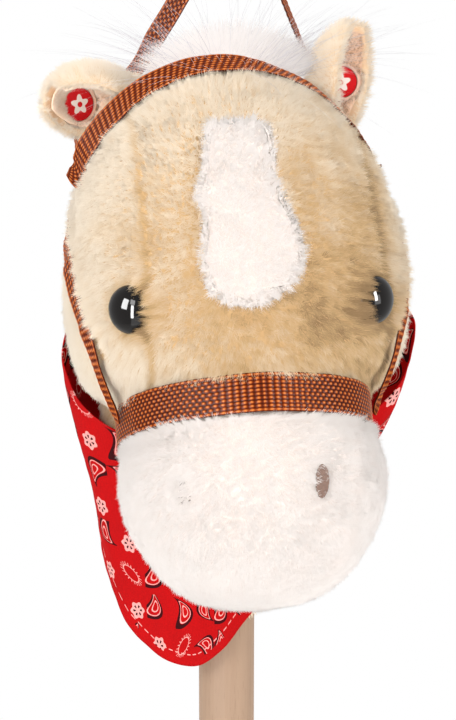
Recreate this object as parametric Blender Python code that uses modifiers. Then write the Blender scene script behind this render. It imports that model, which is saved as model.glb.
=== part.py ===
"""Hobby horse: a stuffed plush horse head on a round wooden stick.

It has a webbing bridle, a neck scarf and a sound unit worked by a press patch in each ear.
Metres, +Z up. The origin is the centre of the foot cap's flat base and the stick runs up Z.
The horse faces -Y, and its left side is +X.
"""

import math

import bmesh
import bpy
import numpy as np
from mathutils import Matrix, Vector
from mathutils.bvhtree import BVHTree

MM = 0.001
CLEAR = 0.3 * MM  # between pieces that touch

# Stick and foot
STICK_DIAMETER = 25 * MM
STICK_LENGTH = 865 * MM
STICK_EDGE_ROUND = 1.5 * MM
CAP_WALL = 3 * MM
CAP_FLOOR = 3 * MM
CAP_HEIGHT = 32 * MM
TOP_DISC_DIAMETER = 44 * MM
TOP_DISC_THICKNESS = 4 * MM
SCREW_SHANK_DIAMETER = 4 * MM
SCREW_SHANK_LENGTH = 26 * MM
SCREW_HEAD_DIAMETER = 9 * MM
SCREW_HEAD_HEIGHT = 3 * MM

# Head, in its own frame: s runs along the face from the crown to the nose, n out of the face
HEAD_TILT = math.radians(30)  # of the face from the vertical
HEAD_FORWARD = 22 * MM  # head centre in front of the stick
HEAD_BELOW_TOP = 16 * MM  # head centre under the stick's top
HEAD_SIDE = 0.3 * MM  # head centre to the horse's left, as sewn
HEAD_LEAN = -0.013  # sideways per length up the face
COVER_THICKNESS = 3.5 * MM
STUFFING_GAP = 0.8 * MM
CAGE_SWELL = 5 * MM  # most that a cage stands outside its subdivided surface
HEAD_SIDES = 16
CROWN_POLE = (-80 * MM, 12 * MM)
NOSE_POLE = (150 * MM, -16 * MM)
# s, half width, n of the widest point, n of the face, n of the underside, power of the face side
HEAD_SECTIONS = (
    (-75, 27, 9, 30, -13, 0.95),
    (-61, 46.5, 5, 46, -35, 0.95),
    (-36, 64.5, 0, 55.5, -59, 0.95),
    (-8, 72, -3, 60, -69, 0.95),
    (18, 74.5, -6, 60.5, -70, 0.97),
    (38, 72, -11, 58.5, -65, 1.0),
    (52, 67, -19, 54.5, -57, 1.12),
    (59, 52, -17, 48, -49, 1.12),
    (66, 48, -12, 46.5, -42, 1.05),
    (72, 48.5, -8, 46, -38.5, 1.0),
)
MUZZLE_SECTIONS = (
    (72.3, 48.5, -8, 46, -38.5, 1.0),
    (79, 54, -7, 47.5, -40.5, 0.95),
    (94, 58, -5, 46.5, -46, 0.9),
    (112, 55, -6, 41.5, -47.5, 0.9),
    (130, 44, -9, 29, -44, 0.9),
    (143, 31, -14, 12, -37, 0.92),
)
# x and s of the blaze's outline, which is a little off the middle as sewn
BLAZE_OUTLINE = (
    (-14, -46), (9.5, -45), (13, -32), (12, -17), (17.5, -3.5), (20.5, 6), (20, 19), (12, 28),
    (-2, 34.5), (-19, 28.5), (-21.5, 11), (-19.5, -3.5), (-22, -14), (-18.5, -24),
)

# Neck: drop under the head's centre, half width, front, back, both measured forwards from the stick
NECK_COLLAR_RADIUS = 16.6 * MM
NECK_COLLAR_TOP = 153 * MM
NECK_COLLAR_BOTTOM = 168 * MM
NECK_SECTIONS = (
    (145, 29, 20, -29),
    (133, 47, 20, -44),
    (103, 52.5, 17.8, -51),
    (68, 58.5, 17.6, -53),
    (36, 61, 10, -49),
    (14, 50, 8, -38),
)
NECK_COVER_THICKNESS = 3 * MM
NECK_OPENING_RADIUS = 28 * MM
TIE_WIDTH = 4.8 * MM
TIE_THICKNESS = 1.4 * MM

# Eyes and nostrils
EYE_DIAMETER = 20 * MM
EYE_DOME = 8 * MM
EYE_SHANK_DIAMETER = 4.6 * MM
EYE_SHANK_LENGTH = 13 * MM
EYE_SEAT_DEPTH = 1.2 * MM
EYE_AT = (51.6 * MM, 30 * MM, 43 * MM)  # x, s, n
WASHER_DIAMETER = 18 * MM
WASHER_THICKNESS = 1.5 * MM
NOSTRIL_AT = (28 * MM, 103 * MM, 38 * MM)
NOSTRIL_SHIFT = 8 * MM  # of the pair to the horse's right, as sewn
NOSTRIL_LENGTH = 13.5 * MM
NOSTRIL_WIDTH = 5.5 * MM
NOSTRIL_THICKNESS = 0.8 * MM

# Ears
EAR_ROOT_RADIUS = 9 * MM
EAR_WALL = 5.5 * MM
EAR_LINING = 1 * MM
EAR_LINING_GAP = 1.4 * MM
# Root from the head's centre (side, forward from the stick, height), length, bowl radius, then the
# lean outwards, the tilt forwards and the turn of the opening
EARS = {
    "right": ((-42, -13, 58), 35, 14.5, 79, 26, -38),
    "left": ((48, -13, 50), 42, 13, 16, 5, 52),
}

# Press switch in each ear
PATCH_DIAMETER = 14 * MM
PATCH_THICKNESS = 1 * MM
PLUNGER_THICKNESS = 1 * MM
SWITCH_TRAVEL = 1.5 * MM
SWITCH_CASE_DIAMETER = 17.4 * MM
SWITCH_CASE_DEPTH = 4.8 * MM
SWITCH_CASE_FLOOR = 1 * MM
SWITCH_SINK = 2.8 * MM  # case floor under the ear's inner wall
SWITCH_RUNNING_GAP = 0.4 * MM
SWITCH_AT = {"right": (0.42, math.radians(-50)), "left": (0.34, math.radians(56))}  # along, around

# Bridle
WEBBING_THICKNESS = 1.4 * MM
NOSEBAND_WIDTH = 16 * MM
NOSEBAND_AT = 67.5 * MM  # s of its middle
NOSEBAND_CHIN_DROP = 13 * MM  # of its middle under the chin, towards the nose
BROWBAND_WIDTH = 11 * MM
BROWBAND_FORWARD = 13 * MM  # of the strap at the crown, from the stick
BROWBAND_LEAN = math.radians(6)
BROWBAND_REACH = math.radians(64)  # to each side of the crown
# Angle round the crown and how far the strap's back edge stands off the pile, in degrees
BROWBAND_TILT = ((-64, 46), (-45, 40), (-15, 28), (0, 22), (14, 4), (64, 0))
REIN_WIDTH = 11 * MM
STRAP_LIFT = 0.7 * MM
# Half spacing, forwards from the stick and height from the head's centre
REIN_CHEEK_ROUTE = (
    (50, 54, -58), (56, 56, -43), (61, 56.5, -32), (66, 53, -19), (69, 45, -9), (71, 32, 2),
    (71.5, 16, 11), (70, 0, 18), (66, -14, 24), (60, -25, 30), (57, -32, 35),
)
REIN_PIVOT = (57, -32, 35)
REIN_LEGS = {
    -1: ((59, -36, 44), (50, -41, 54), (33.5, -42, 68), (24.5, -41, 83), (16, -40, 97), (1, -40, 124)),
    1: ((59, -36, 44), (53, -41, 55), (40.5, -42, 73), (35.5, -41, 84), (30.5, -40, 96), (21, -40, 121)),
}
REIN_APEX = (12, -40, 148)
REIN_APEX_RADIUS = 8 * MM
REIN_TWIST = {-1: math.radians(40), 1: math.radians(14)}
REIN_LIFT = 1.1 * MM
REIN_OVER_BAND = 1.6 * MM
REIN_LAP = 3 * MM  # between the middles of the lapped straps
REIN_SWING = math.radians(95)

# Hair
FORELOCK_SIZE = (31 * MM, 17 * MM, 18 * MM)
FORELOCK_SIDE = 4 * MM  # of the middle, to the horse's left
FORELOCK_AT = (-13 * MM, 78 * MM)  # forwards from the stick and height from the head's centre
MANE_HALF_WIDTH = 17 * MM
MANE_THICKNESS = 15 * MM
# s and n down the back of the head
MANE_ROUTE = ((-78, -6), (-66, -30), (-50, -49), (-36, -60), (-25, -66))

# Scarf: angle from the front (right of the horse negative), top and bottom from the head's centre
SCARF_EDGES = (
    (-172, -18, -52), (-150, -15, -68), (-120, -12, -92), (-98, -15, -128), (-90, -27, -140),
    (-83, -46, -147), (-76, -61, -155), (-70, -68, -163), (-63, -72, -169), (-50, -78, -178),
    (-34, -85, -186), (-18, -91, -189.5), (-4, -92, -180), (6, -92, -167), (22, -91, -149),
    (46, -80, -129), (62, -72, -115), (75, -61, -106), (84, -46, -101), (92, -30, -97),
    (100, -18, -93), (120, -12, -81), (150, -15, -66), (172, -18, -52),
)
SCARF_THICKNESS = 1.2 * MM
SCARF_LIFT = 0.5 * MM
SCARF_FLARE = {-1: (10 * MM, 2 * MM), 1: (24 * MM, 12 * MM)}  # at the top and bottom edge of each side
SCARF_FOLD = 2.2 * MM
SCARF_HANG_FROM = 118 * MM  # under this drop the cloth hangs straight
KNOT_SIZE = (14 * MM, 9 * MM, 11 * MM)
TAIL_LENGTH = 46 * MM
TAIL_WIDTH = 17 * MM
TAIL_THICKNESS = 2.5 * MM

# Sound unit
BOX_SIZE = (60 * MM, 27 * MM, 44 * MM)
BOX_WALL = 2 * MM
BOX_CORNER = 4 * MM
BOX_DROP = 24 * MM  # of its middle under the head's centre
SPEAKER_DIAMETER = 36 * MM
SPEAKER_DEPTH = 7 * MM
GRILLE_HOLE = 4 * MM
GRILLE_RINGS = 1
BOARD_THICKNESS = 1.6 * MM
CELL_DIAMETER = 11.6 * MM
CELL_THICKNESS = 5.4 * MM
CELL_GROOVE = 0.3 * MM
CONTACT_THICKNESS = 0.4 * MM
POST_DIAMETER = 5 * MM
BOX_SCREW_DIAMETER = 2.2 * MM

STICK_RADIUS = STICK_DIAMETER / 2
STICK_BOTTOM = CAP_FLOOR + CLEAR
STICK_TOP = STICK_BOTTOM + STICK_LENGTH
HEAD_HEIGHT = STICK_TOP - HEAD_BELOW_TOP


def clear_scene():
    for ob in list(bpy.data.objects):
        bpy.data.objects.remove(ob, do_unlink=True)


def new_collection(name):
    made = bpy.data.collections.new(name)
    bpy.context.scene.collection.children.link(made)
    return made


clear_scene()
PARTS = new_collection("hobby_horse")
CUTTERS = new_collection("cutters")


def material(name, colour, roughness, metallic=0.0):
    made = bpy.data.materials.new(name)
    made.use_nodes = True
    shader = made.node_tree.nodes["Principled BSDF"]
    shader.inputs["Base Color"].default_value = (*colour, 1)
    shader.inputs["Roughness"].default_value = roughness
    shader.inputs["Metallic"].default_value = metallic
    return made


TAN_PLUSH = material("tan_plush", (0.78, 0.58, 0.36), 0.95)
WHITE_PLUSH = material("white_plush", (0.92, 0.87, 0.82), 0.95)
EAR_CLOTH = material("ear_cloth", (0.69, 0.47, 0.35), 0.9)
RED_CLOTH = material("red_cloth", (0.70, 0.02, 0.03), 0.85)
BROWN_WEBBING = material("brown_webbing", (0.36, 0.11, 0.05), 0.7)
WHITE_HAIR = material("white_hair", (0.93, 0.90, 0.87), 0.8)
FILLING = material("polyester_filling", (0.90, 0.90, 0.88), 1.0)
WOOD = material("wood", (0.60, 0.42, 0.28), 0.55)
RUBBER = material("rubber", (0.05, 0.05, 0.05), 0.8)
BLACK_GLOSS = material("black_gloss", (0.01, 0.008, 0.006), 0.08)
WHITE_PLASTIC = material("white_plastic", (0.85, 0.85, 0.83), 0.45)
BROWN_THREAD = material("brown_thread", (0.32, 0.18, 0.11), 0.8)
STEEL = material("steel", (0.6, 0.6, 0.6), 0.3, 1.0)
GREEN_BOARD = material("green_board", (0.04, 0.25, 0.08), 0.5)


def add(name, mesh, mat, smooth=True):
    """A part from a mesh, with its material."""
    if mat.name not in mesh.materials:
        mesh.materials.append(mat)
    if smooth:
        mesh.shade_smooth()
        mesh.set_sharp_from_angle(angle=math.radians(40))
    ob = bpy.data.objects.new(name, mesh)
    PARTS.objects.link(ob)
    return ob


def cutter(name, mesh):
    """A shape that only cuts, joins or guides parts."""
    ob = bpy.data.objects.new(name, mesh)
    ob.hide_render = True
    ob.display_type = "WIRE"
    CUTTERS.objects.link(ob)
    return ob


def boolean(ob, tool, operation="DIFFERENCE"):
    mod = ob.modifiers.new(tool.name, "BOOLEAN")
    mod.operation = operation
    mod.solver = "EXACT"
    mod.object = tool


def bevel(ob, width, segments=2):
    mod = ob.modifiers.new("edges", "BEVEL")
    mod.width = width
    mod.segments = segments
    mod.limit_method = "ANGLE"
    mod.angle_limit = math.radians(40)


def subdivide(ob, levels=1):
    mod = ob.modifiers.new("round", "SUBSURF")
    mod.levels = levels
    mod.render_levels = levels


def thicken(ob, thickness, offset):
    """A wall on an open surface: offset -1 puts it inside the surface, 1 outside."""
    mod = ob.modifiers.new("wall", "SOLIDIFY")
    mod.thickness = thickness
    mod.offset = offset
    mod.use_even_offset = True


def evaluated(ob):
    """The mesh of an object with its modifiers applied, in world space."""
    bpy.context.view_layer.update()
    graph = bpy.context.evaluated_depsgraph_get()
    mesh = bpy.data.meshes.new_from_object(ob.evaluated_get(graph))
    mesh.transform(ob.matrix_world)
    return mesh


def grown(name, source, distance, cage=False):
    """A cutter from another shape's surface, or its bare cage, moved along its normals."""
    mesh = source.data.copy() if cage else evaluated(source)
    bm = bmesh.new()
    bm.from_mesh(mesh)
    bm.normal_update()
    moves = [vert.normal * distance for vert in bm.verts]
    for vert, move in zip(bm.verts, moves):
        vert.co += move
    bm.to_mesh(mesh)
    bm.free()
    return cutter(name, mesh)


def loft(name, rows, inside, ring=True, first=None, last=None):
    """Faces between rows of points, with a pole at an end that has one, facing away from inside."""
    bm = bmesh.new()
    grid = [[bm.verts.new(point) for point in row] for row in rows]
    count = len(grid[0])
    for low, high in zip(grid, grid[1:]):
        for i in range(count if ring else count - 1):
            j = (i + 1) % count
            bm.faces.new((low[i], low[j], high[j], high[i]))
    for row, pole in ((grid[0], first), (grid[-1], last)):
        if pole is not None:
            tip = bm.verts.new(pole)
            for i in range(count):
                bm.faces.new((row[i], row[(i + 1) % count], tip))
    bmesh.ops.recalc_face_normals(bm, faces=bm.faces)
    bm.faces.ensure_lookup_table()
    face = bm.faces[(len(rows) // 2) * (count if ring else count - 1) - 1]
    if face.normal.dot(face.calc_center_median() - inside) < 0:
        bmesh.ops.reverse_faces(bm, faces=bm.faces)
    mesh = bpy.data.meshes.new(name)
    bm.to_mesh(mesh)
    bm.free()
    return mesh


def box_mesh(name, size, centre):
    bm = bmesh.new()
    bmesh.ops.create_cube(bm, size=1)
    bmesh.ops.scale(bm, vec=size, verts=bm.verts)
    bmesh.ops.translate(bm, vec=centre, verts=bm.verts)
    mesh = bpy.data.meshes.new(name)
    bm.to_mesh(mesh)
    bm.free()
    return mesh


def drum(name, radius, low, high, place=None, sides=32):
    """A cylinder from low to high along Z of the place."""
    bm = bmesh.new()
    bmesh.ops.create_cone(bm, cap_ends=True, segments=sides, radius1=radius, radius2=radius, depth=high - low)
    bmesh.ops.translate(bm, vec=(0, 0, (low + high) / 2), verts=bm.verts)
    if place:
        bm.transform(place)
    mesh = bpy.data.meshes.new(name)
    bm.to_mesh(mesh)
    bm.free()
    return mesh


def turned(name, profile, mat, steps=32, place=None):
    """A turned part from a profile of (radius, height) that runs down its outer side, or closes on itself."""
    mesh = bpy.data.meshes.new(name)
    ring = profile[0] == profile[-1]
    points = profile[:-1] if ring else profile
    edges = [(i, i + 1) for i in range(len(points) - 1)]
    if ring:
        edges.append((len(points) - 1, 0))
    mesh.from_pydata([(r, 0, z) for r, z in points], edges, [])
    ob = add(name, mesh, mat, smooth=False)
    mod = ob.modifiers.new("turn", "SCREW")
    mod.angle = 2 * math.pi
    mod.steps = steps
    mod.render_steps = steps
    mod.use_merge_vertices = True
    mod.merge_threshold = 0.00001
    mod.use_smooth_shade = True
    if place:
        ob.matrix_world = place
    return ob


def arc(centre_r, centre_z, radius, start, end, count):
    """Profile points on an arc, the angles in degrees from the outward direction."""
    return [
        (centre_r + radius * math.cos(math.radians(a)), centre_z + radius * math.sin(math.radians(a)))
        for a in np.linspace(start, end, count)
    ]


def facing(point, direction, up=Vector((0, 0, 1))):
    """A matrix at a point whose Z looks along a direction."""
    z = direction.normalized()
    x = up.cross(z).normalized()
    y = z.cross(x)
    return Matrix.Translation(point) @ Matrix((x, y, z)).transposed().to_4x4()


def smooth_path(points, count):
    """Count points spaced evenly along a Catmull-Rom curve through the points."""
    ends = [2 * points[0] - points[1], *points, 2 * points[-1] - points[-2]]
    fine = []
    for a, b, c, d in zip(ends, ends[1:], ends[2:], ends[3:]):
        for t in np.linspace(0, 1, 24, endpoint=False):
            bend = (2 * a - 5 * b + 4 * c - d) * t**2 + (3 * b - 3 * c + d - a) * t**3
            fine.append(0.5 * (2 * b + (c - a) * t + bend))
    fine.append(points[-1].copy())
    run = np.concatenate([[0], np.cumsum([(q - p).length for p, q in zip(fine, fine[1:])])])
    columns = [np.interp(np.linspace(0, run[-1], count), run, [p[k] for p in fine]) for k in range(3)]
    return [Vector(xyz) for xyz in zip(*columns)]


def from_stick(x, forward, height):
    """A world point from its side, its way forwards from the stick and its height from the head's centre."""
    return Vector((x, -forward, HEAD_HEIGHT + height))


def on_head(x, s, n):
    """A world point from the head's frame."""
    forward = HEAD_FORWARD + s * math.sin(HEAD_TILT) + n * math.cos(HEAD_TILT)
    height = n * math.sin(HEAD_TILT) - s * math.cos(HEAD_TILT)
    return from_stick(x + HEAD_SIDE - HEAD_LEAN * s, forward, height)


def signed_power(value, power):
    return math.copysign(abs(value) ** power, value)


def head_ring(section):
    """One section of the head's cage, swelled so that the subdivided surface keeps the size."""
    s, half_width, middle, face, under, power = section
    swell = 8 / (6 + 2 * math.cos(2 * math.pi / HEAD_SIDES))
    ring = []
    for i in range(HEAD_SIDES):
        angle = 2 * math.pi * i / HEAD_SIDES
        e = power if math.cos(angle) > 0 else 0.95
        x = half_width * signed_power(math.sin(angle), e)
        reach = face - middle if math.cos(angle) > 0 else middle - under
        n = middle + swell * reach * signed_power(math.cos(angle), e)
        ring.append(on_head(swell * x * MM, s * MM, n * MM))
    return ring


def head_rows(sections):
    return [head_ring(section) for section in sections]


HEAD_CENTRE = on_head(0, 0, 0)
NOSE_CENTRE = on_head(0, 100 * MM, 0)

# The whole outer form of head and muzzle, which guides the straps and cuts the neck, ears and hair
head_form = cutter(
    "head_form",
    loft(
        "head_form",
        head_rows(HEAD_SECTIONS + MUZZLE_SECTIONS),
        HEAD_CENTRE,
        first=on_head(0, *CROWN_POLE),
        last=on_head(0, *NOSE_POLE),
    ),
)
subdivide(head_form)
head_clear = grown("head_clear", head_form, 1.3 * CLEAR)
head_tree = BVHTree.FromObject(head_form, bpy.context.evaluated_depsgraph_get())


def head_hit(x, s, n):
    """Where the ray from the head's axis through a point meets the head's surface, and its normal."""
    start = on_head(0, s, 0)
    place, normal, _, _ = head_tree.ray_cast(start, (on_head(x, s, n) - start).normalized())
    return place, normal


def lifted(point, lift, tree):
    """The point, moved where needed to at least a lift above a surface."""
    place, normal, _, _ = tree.find_nearest(point)
    return point if (point - place).dot(normal) > lift else place + normal * lift


def make_stick():
    """The dowel, with rounded ends and a pilot hole for the top screw."""
    r = STICK_RADIUS
    e = STICK_EDGE_ROUND
    hole = SCREW_SHANK_DIAMETER / 2 + CLEAR
    depth = SCREW_SHANK_LENGTH + 2 * MM
    profile = [(hole, STICK_TOP)]
    profile += arc(r - e, STICK_TOP - e, e, 90, 0, 3)
    profile += arc(r - e, STICK_BOTTOM + e, e, 0, -90, 3)
    profile += [(0, STICK_BOTTOM)]
    profile = [(0, STICK_TOP - depth), (hole, STICK_TOP - depth)] + profile
    turned("stick", profile, WOOD, steps=32)


def make_foot_cap():
    """A ferrule pushed on the stick's foot, wider at its flat base."""
    inner = STICK_RADIUS + CLEAR
    outer = inner + CAP_WALL
    base = outer + 1.5 * MM
    profile = [(inner, CAP_HEIGHT)]
    profile += arc(outer - 1 * MM, CAP_HEIGHT - 1 * MM, 1 * MM, 90, 0, 3)
    profile += [(outer, 11 * MM), (base, 8 * MM)]
    profile += arc(base - 2 * MM, 2 * MM, 2 * MM, 0, -90, 3)
    profile += [(0, 0)]
    profile = [(0, CAP_FLOOR), (inner, CAP_FLOOR)] + profile
    turned("foot_cap", profile, RUBBER, steps=32)


def make_stick_top():
    """The disc that spreads the load of the stick's end in the stuffing, and its screw."""
    low = STICK_TOP + CLEAR
    high = low + TOP_DISC_THICKNESS
    r = TOP_DISC_DIAMETER / 2
    hole = SCREW_SHANK_DIAMETER / 2 + CLEAR
    profile = [(hole, high)]
    profile += arc(r - 1.2 * MM, high - 1.2 * MM, 1.2 * MM, 90, 0, 3)
    profile += arc(r - 1.2 * MM, low + 1.2 * MM, 1.2 * MM, 0, -90, 3)
    profile += [(hole, low), (hole, high)]
    turned("stick_top_disc", profile, WHITE_PLASTIC, steps=28)
    seat = high + CLEAR
    head = SCREW_HEAD_DIAMETER / 2
    shank = SCREW_SHANK_DIAMETER / 2
    tip = STICK_TOP - SCREW_SHANK_LENGTH
    profile = [(0, seat + SCREW_HEAD_HEIGHT), (head * 0.6, seat + SCREW_HEAD_HEIGHT * 0.9)]
    profile += [(head, seat + SCREW_HEAD_HEIGHT * 0.35), (head, seat), (shank, seat)]
    profile += [(shank, tip + 4 * MM), (0, tip)]
    turned("stick_top_screw", profile, STEEL, steps=20)


def outline_prism(name, outline, grow, low, high):
    """A prism along the face's normal through a closed smooth outline of (x, s), grown by a distance."""
    points = [Vector((x * MM, s * MM, 0)) for x, s in outline]
    kept = smooth_path([*points, points[0]], 3 * len(points) + 1)[:-1]
    middle = sum(kept, Vector()) / len(kept)
    curve = bpy.data.curves.new(name, "CURVE")
    curve.dimensions = "2D"
    curve.fill_mode = "BOTH"
    curve.extrude = (high - low) / 2
    spline = curve.splines.new("POLY")
    spline.points.add(len(kept) - 1)
    for i, point in enumerate(kept):
        along = (kept[(i + 1) % len(kept)] - kept[i - 1]).normalized()
        away = Vector((along.y, -along.x, 0))
        if away.dot(point - middle) < 0:
            away = -away
        spline.points[i].co = (*(point + away * grow), 1)
    spline.use_cyclic_u = True
    ob = bpy.data.objects.new(name, curve)
    CUTTERS.objects.link(ob)
    mesh = evaluated(ob)
    bpy.data.objects.remove(ob, do_unlink=True)
    bm = bmesh.new()
    bm.from_mesh(mesh)
    bmesh.ops.remove_doubles(bm, verts=bm.verts, dist=0.00001)
    for vert in bm.verts:
        vert.co = on_head(vert.co.x, vert.co.y, (low + high) / 2 + vert.co.z)
    bmesh.ops.recalc_face_normals(bm, faces=bm.faces)
    bm.to_mesh(mesh)
    bm.free()
    return cutter(name, mesh)


def make_head():
    """The tan head cover and the white blaze panel let into it, the muzzle cover and the stuffing."""
    rows = head_rows(HEAD_SECTIONS)
    crown = on_head(0, *CROWN_POLE)
    face_depth = (20 * MM, 90 * MM)

    def head_shell(name, mat):
        ob = add(name, loft(name, rows, HEAD_CENTRE, first=crown), mat)
        subdivide(ob)
        thicken(ob, COVER_THICKNESS, -1)
        return ob

    cover = head_shell("head_cover", TAN_PLUSH)
    boolean(cover, outline_prism("blaze_hole", BLAZE_OUTLINE, CLEAR, *face_depth))
    opening_low = HEAD_HEIGHT - 110 * MM
    opening_high = HEAD_HEIGHT - 30 * MM
    behind = Matrix.Translation((0, 10 * MM, 0))
    opening = drum("head_opening", NECK_OPENING_RADIUS, opening_low, opening_high, behind)
    boolean(cover, cutter("head_opening", opening))

    blaze = head_shell("blaze_panel", WHITE_PLUSH)
    boolean(blaze, outline_prism("blaze_outline", BLAZE_OUTLINE, 0, *face_depth), "INTERSECT")

    muzzle_rows = head_rows(MUZZLE_SECTIONS)
    muzzle_mesh = loft("muzzle_cover", muzzle_rows, NOSE_CENTRE, last=on_head(0, *NOSE_POLE))
    muzzle = add("muzzle_cover", muzzle_mesh, WHITE_PLUSH)
    subdivide(muzzle)
    thicken(muzzle, COVER_THICKNESS, -1)

    core = grown("head_core", head_form, -COVER_THICKNESS - CAGE_SWELL - STUFFING_GAP, cage=True)
    stuffing = add("head_stuffing", evaluated(core), FILLING)
    return cover, stuffing


def make_neck():
    """The neck cover, gathered to a collar round the stick, its stuffing and the cable tie."""
    count = 12
    swell = 8 / (6 + 2 * math.cos(2 * math.pi / count))

    def ring(drop, half_width, front, back):
        centre = (front + back) / 2
        depth = (front - back) / 2
        points = []
        for i in range(count):
            angle = 2 * math.pi * i / count
            forward = centre + swell * depth * math.cos(angle)
            points.append(from_stick(swell * half_width * math.sin(angle), forward, -drop))
        return points

    collar = NECK_COLLAR_RADIUS
    rows = [ring(drop, collar, collar, -collar) for drop in (NECK_COLLAR_BOTTOM, NECK_COLLAR_TOP)]
    rows += [ring(*(value * MM for value in section)) for section in NECK_SECTIONS]
    inside = from_stick(0, -15 * MM, -80 * MM)
    cover = add("neck_cover", loft("neck_cover", rows, inside), TAN_PLUSH)
    subdivide(cover)
    thicken(cover, NECK_COVER_THICKNESS, -1)
    boolean(cover, head_clear)

    top = from_stick(0, -15 * MM, 0)
    foot = from_stick(0, 0, -NECK_COLLAR_TOP + 4 * MM)
    closed = cutter("neck_form", loft("neck_form", rows[2:], inside, first=foot, last=top))
    subdivide(closed)
    core = grown("neck_core", closed, -NECK_COVER_THICKNESS - CAGE_SWELL - STUFFING_GAP, cage=True)
    stuffing = add("neck_stuffing", evaluated(core), FILLING)
    boolean(stuffing, head_clear)

    inner = collar + CLEAR
    middle = HEAD_HEIGHT - (NECK_COLLAR_BOTTOM + NECK_COLLAR_TOP) / 2 - 2.5 * MM
    low = middle - TIE_WIDTH / 2
    high = middle + TIE_WIDTH / 2
    outer = inner + TIE_THICKNESS
    profile = [(inner, high), (outer, high), (outer, low), (inner, low), (inner, high)]
    tie = turned("neck_cable_tie", profile, WHITE_PLASTIC, steps=40)
    lock = box_mesh("tie_lock", (8 * MM, 5 * MM, TIE_WIDTH + 2 * MM), (0, outer + 2 * MM, middle))
    boolean(tie, cutter("tie_lock", lock), "UNION")
    return cover, stuffing


def make_eyes(cover, stuffing):
    """Each domed eye on its shank through the cover, and the locking washer behind it."""
    r = EYE_DIAMETER / 2
    shank = EYE_SHANK_DIAMETER / 2
    seat = -EYE_SEAT_DEPTH
    washer_top = -COVER_THICKNESS - 1.2 * MM
    rim = 1.6 * MM
    for side, name in ((-1, "right"), (1, "left")):
        place, normal = head_hit(side * EYE_AT[0], EYE_AT[1], EYE_AT[2])
        there = facing(place, normal)
        base = seat + CLEAR
        dome = [
            (r * math.sin(a), base + rim + (EYE_DOME - rim) * math.cos(a))
            for a in np.linspace(0, math.pi / 2, 7)
        ]
        profile = [(0, dome[0][1]), *dome[1:], (r, base + 0.4 * MM), (r - 0.5 * MM, base), (shank, base)]
        profile += [(shank, base - EYE_SHANK_LENGTH + 1 * MM), (shank - 0.8 * MM, base - EYE_SHANK_LENGTH)]
        profile += [(0, base - EYE_SHANK_LENGTH)]
        turned(f"eye_{name}", profile, BLACK_GLOSS, steps=24, place=there)
        hole = shank + CLEAR
        edge = WASHER_DIAMETER / 2
        low = washer_top - WASHER_THICKNESS
        ring = [(hole, washer_top), (edge, washer_top), (edge, low), (hole, low), (hole, washer_top)]
        turned(f"eye_washer_{name}", ring, WHITE_PLASTIC, steps=24, place=there)
        seat_cut = drum(f"eye_seat_{name}", r + CLEAR, seat, 12 * MM, there)
        boolean(cover, cutter(f"eye_seat_{name}", seat_cut))
        shank_cut = drum(f"eye_hole_{name}", hole, -20 * MM, 2 * MM, there, sides=20)
        boolean(cover, cutter(f"eye_hole_{name}", shank_cut))
        flat = drum(f"washer_seat_{name}", edge + CLEAR, low - CLEAR, washer_top + CLEAR, there, sides=24)
        boolean(cover, cutter(f"washer_seat_{name}", flat))
        pocket = drum(f"washer_pocket_{name}", edge + CLEAR, low - CLEAR, 6 * MM, there, sides=24)
        boolean(stuffing, cutter(f"washer_pocket_{name}", pocket))
        deep = drum(f"shank_pocket_{name}", hole, base - EYE_SHANK_LENGTH - CLEAR, 4 * MM, there, sides=20)
        boolean(stuffing, cutter(f"shank_pocket_{name}", deep))


def laid_patch(name, mat, at, length, width, thickness, lift):
    """A thin oval on the head's surface, its length along the face."""
    place, normal = head_hit(*at)
    along = (on_head(0, 1, 0) - on_head(0, 0, 0)).normalized()
    along = (along - normal * along.dot(normal)).normalized()
    across = normal.cross(along)
    count = 16
    rows = []
    for share in (1.0, 0.55):
        row = []
        for i in range(count):
            angle = 2 * math.pi * i / count
            spot = place + along * (share * length / 2 * math.cos(angle))
            spot += across * (share * width / 2 * math.sin(angle))
            hit, out, _, _ = head_tree.ray_cast(spot + normal * 20 * MM, -normal)
            row.append(hit + out * lift)
        rows.append(row)
    mesh = loft(name, rows, HEAD_CENTRE, last=place + normal * lift)
    ob = add(name, mesh, mat)
    thicken(ob, thickness, 1)
    return ob


def make_nostrils():
    size = (NOSTRIL_LENGTH, NOSTRIL_WIDTH, NOSTRIL_THICKNESS)
    for side, name in ((-1, "right"), (1, "left")):
        at = (side * NOSTRIL_AT[0] - NOSTRIL_SHIFT, NOSTRIL_AT[1], NOSTRIL_AT[2])
        laid_patch(f"nostril_{name}", BROWN_THREAD, at, *size, 0.5 * MM)


def ear_frame(name):
    """The root point, and the length, opening and width directions of an ear."""
    root, _, _, *turns = EARS[name]
    lean, forward, turn = (math.radians(value) for value in turns)
    side = math.copysign(1, root[0])
    upright = math.cos(forward)
    length = Vector((side * math.sin(lean) * upright, -math.sin(forward), math.cos(lean) * upright))
    ahead = Vector((0, -1, 0))
    ahead = (ahead - length * ahead.dot(length)).normalized()
    width = length.cross(ahead)
    opening = ahead * math.cos(turn) + width * math.sin(turn)
    return from_stick(*(value * MM for value in root)), length, opening, length.cross(opening)


def ear_radius(name, t):
    """The bowl's radius along the ear: it swells from the root and closes at the tip."""
    bowl = EARS[name][2] * MM
    if t < 0.5:
        share = math.sin(math.pi / 2 * max(t, 0) / 0.5)
        return EAR_ROOT_RADIUS + (bowl - EAR_ROOT_RADIUS) * share
    return bowl * max(1 - ((t - 0.5) / 0.52) ** 2, 0) ** 0.6


def ear_half_arc(t):
    """How far the rolled ear reaches round to each side of its spine."""
    return math.radians(np.interp(t, (0, 0.5, 1), (132, 112, 80)))


def ear_point(name, t, angle, inset=0.0):
    root, length, opening, width = ear_frame(name)
    r = ear_radius(name, t) - inset
    return root + length * EARS[name][1] * MM * t + r * (width * math.sin(angle) - opening * math.cos(angle))


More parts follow.
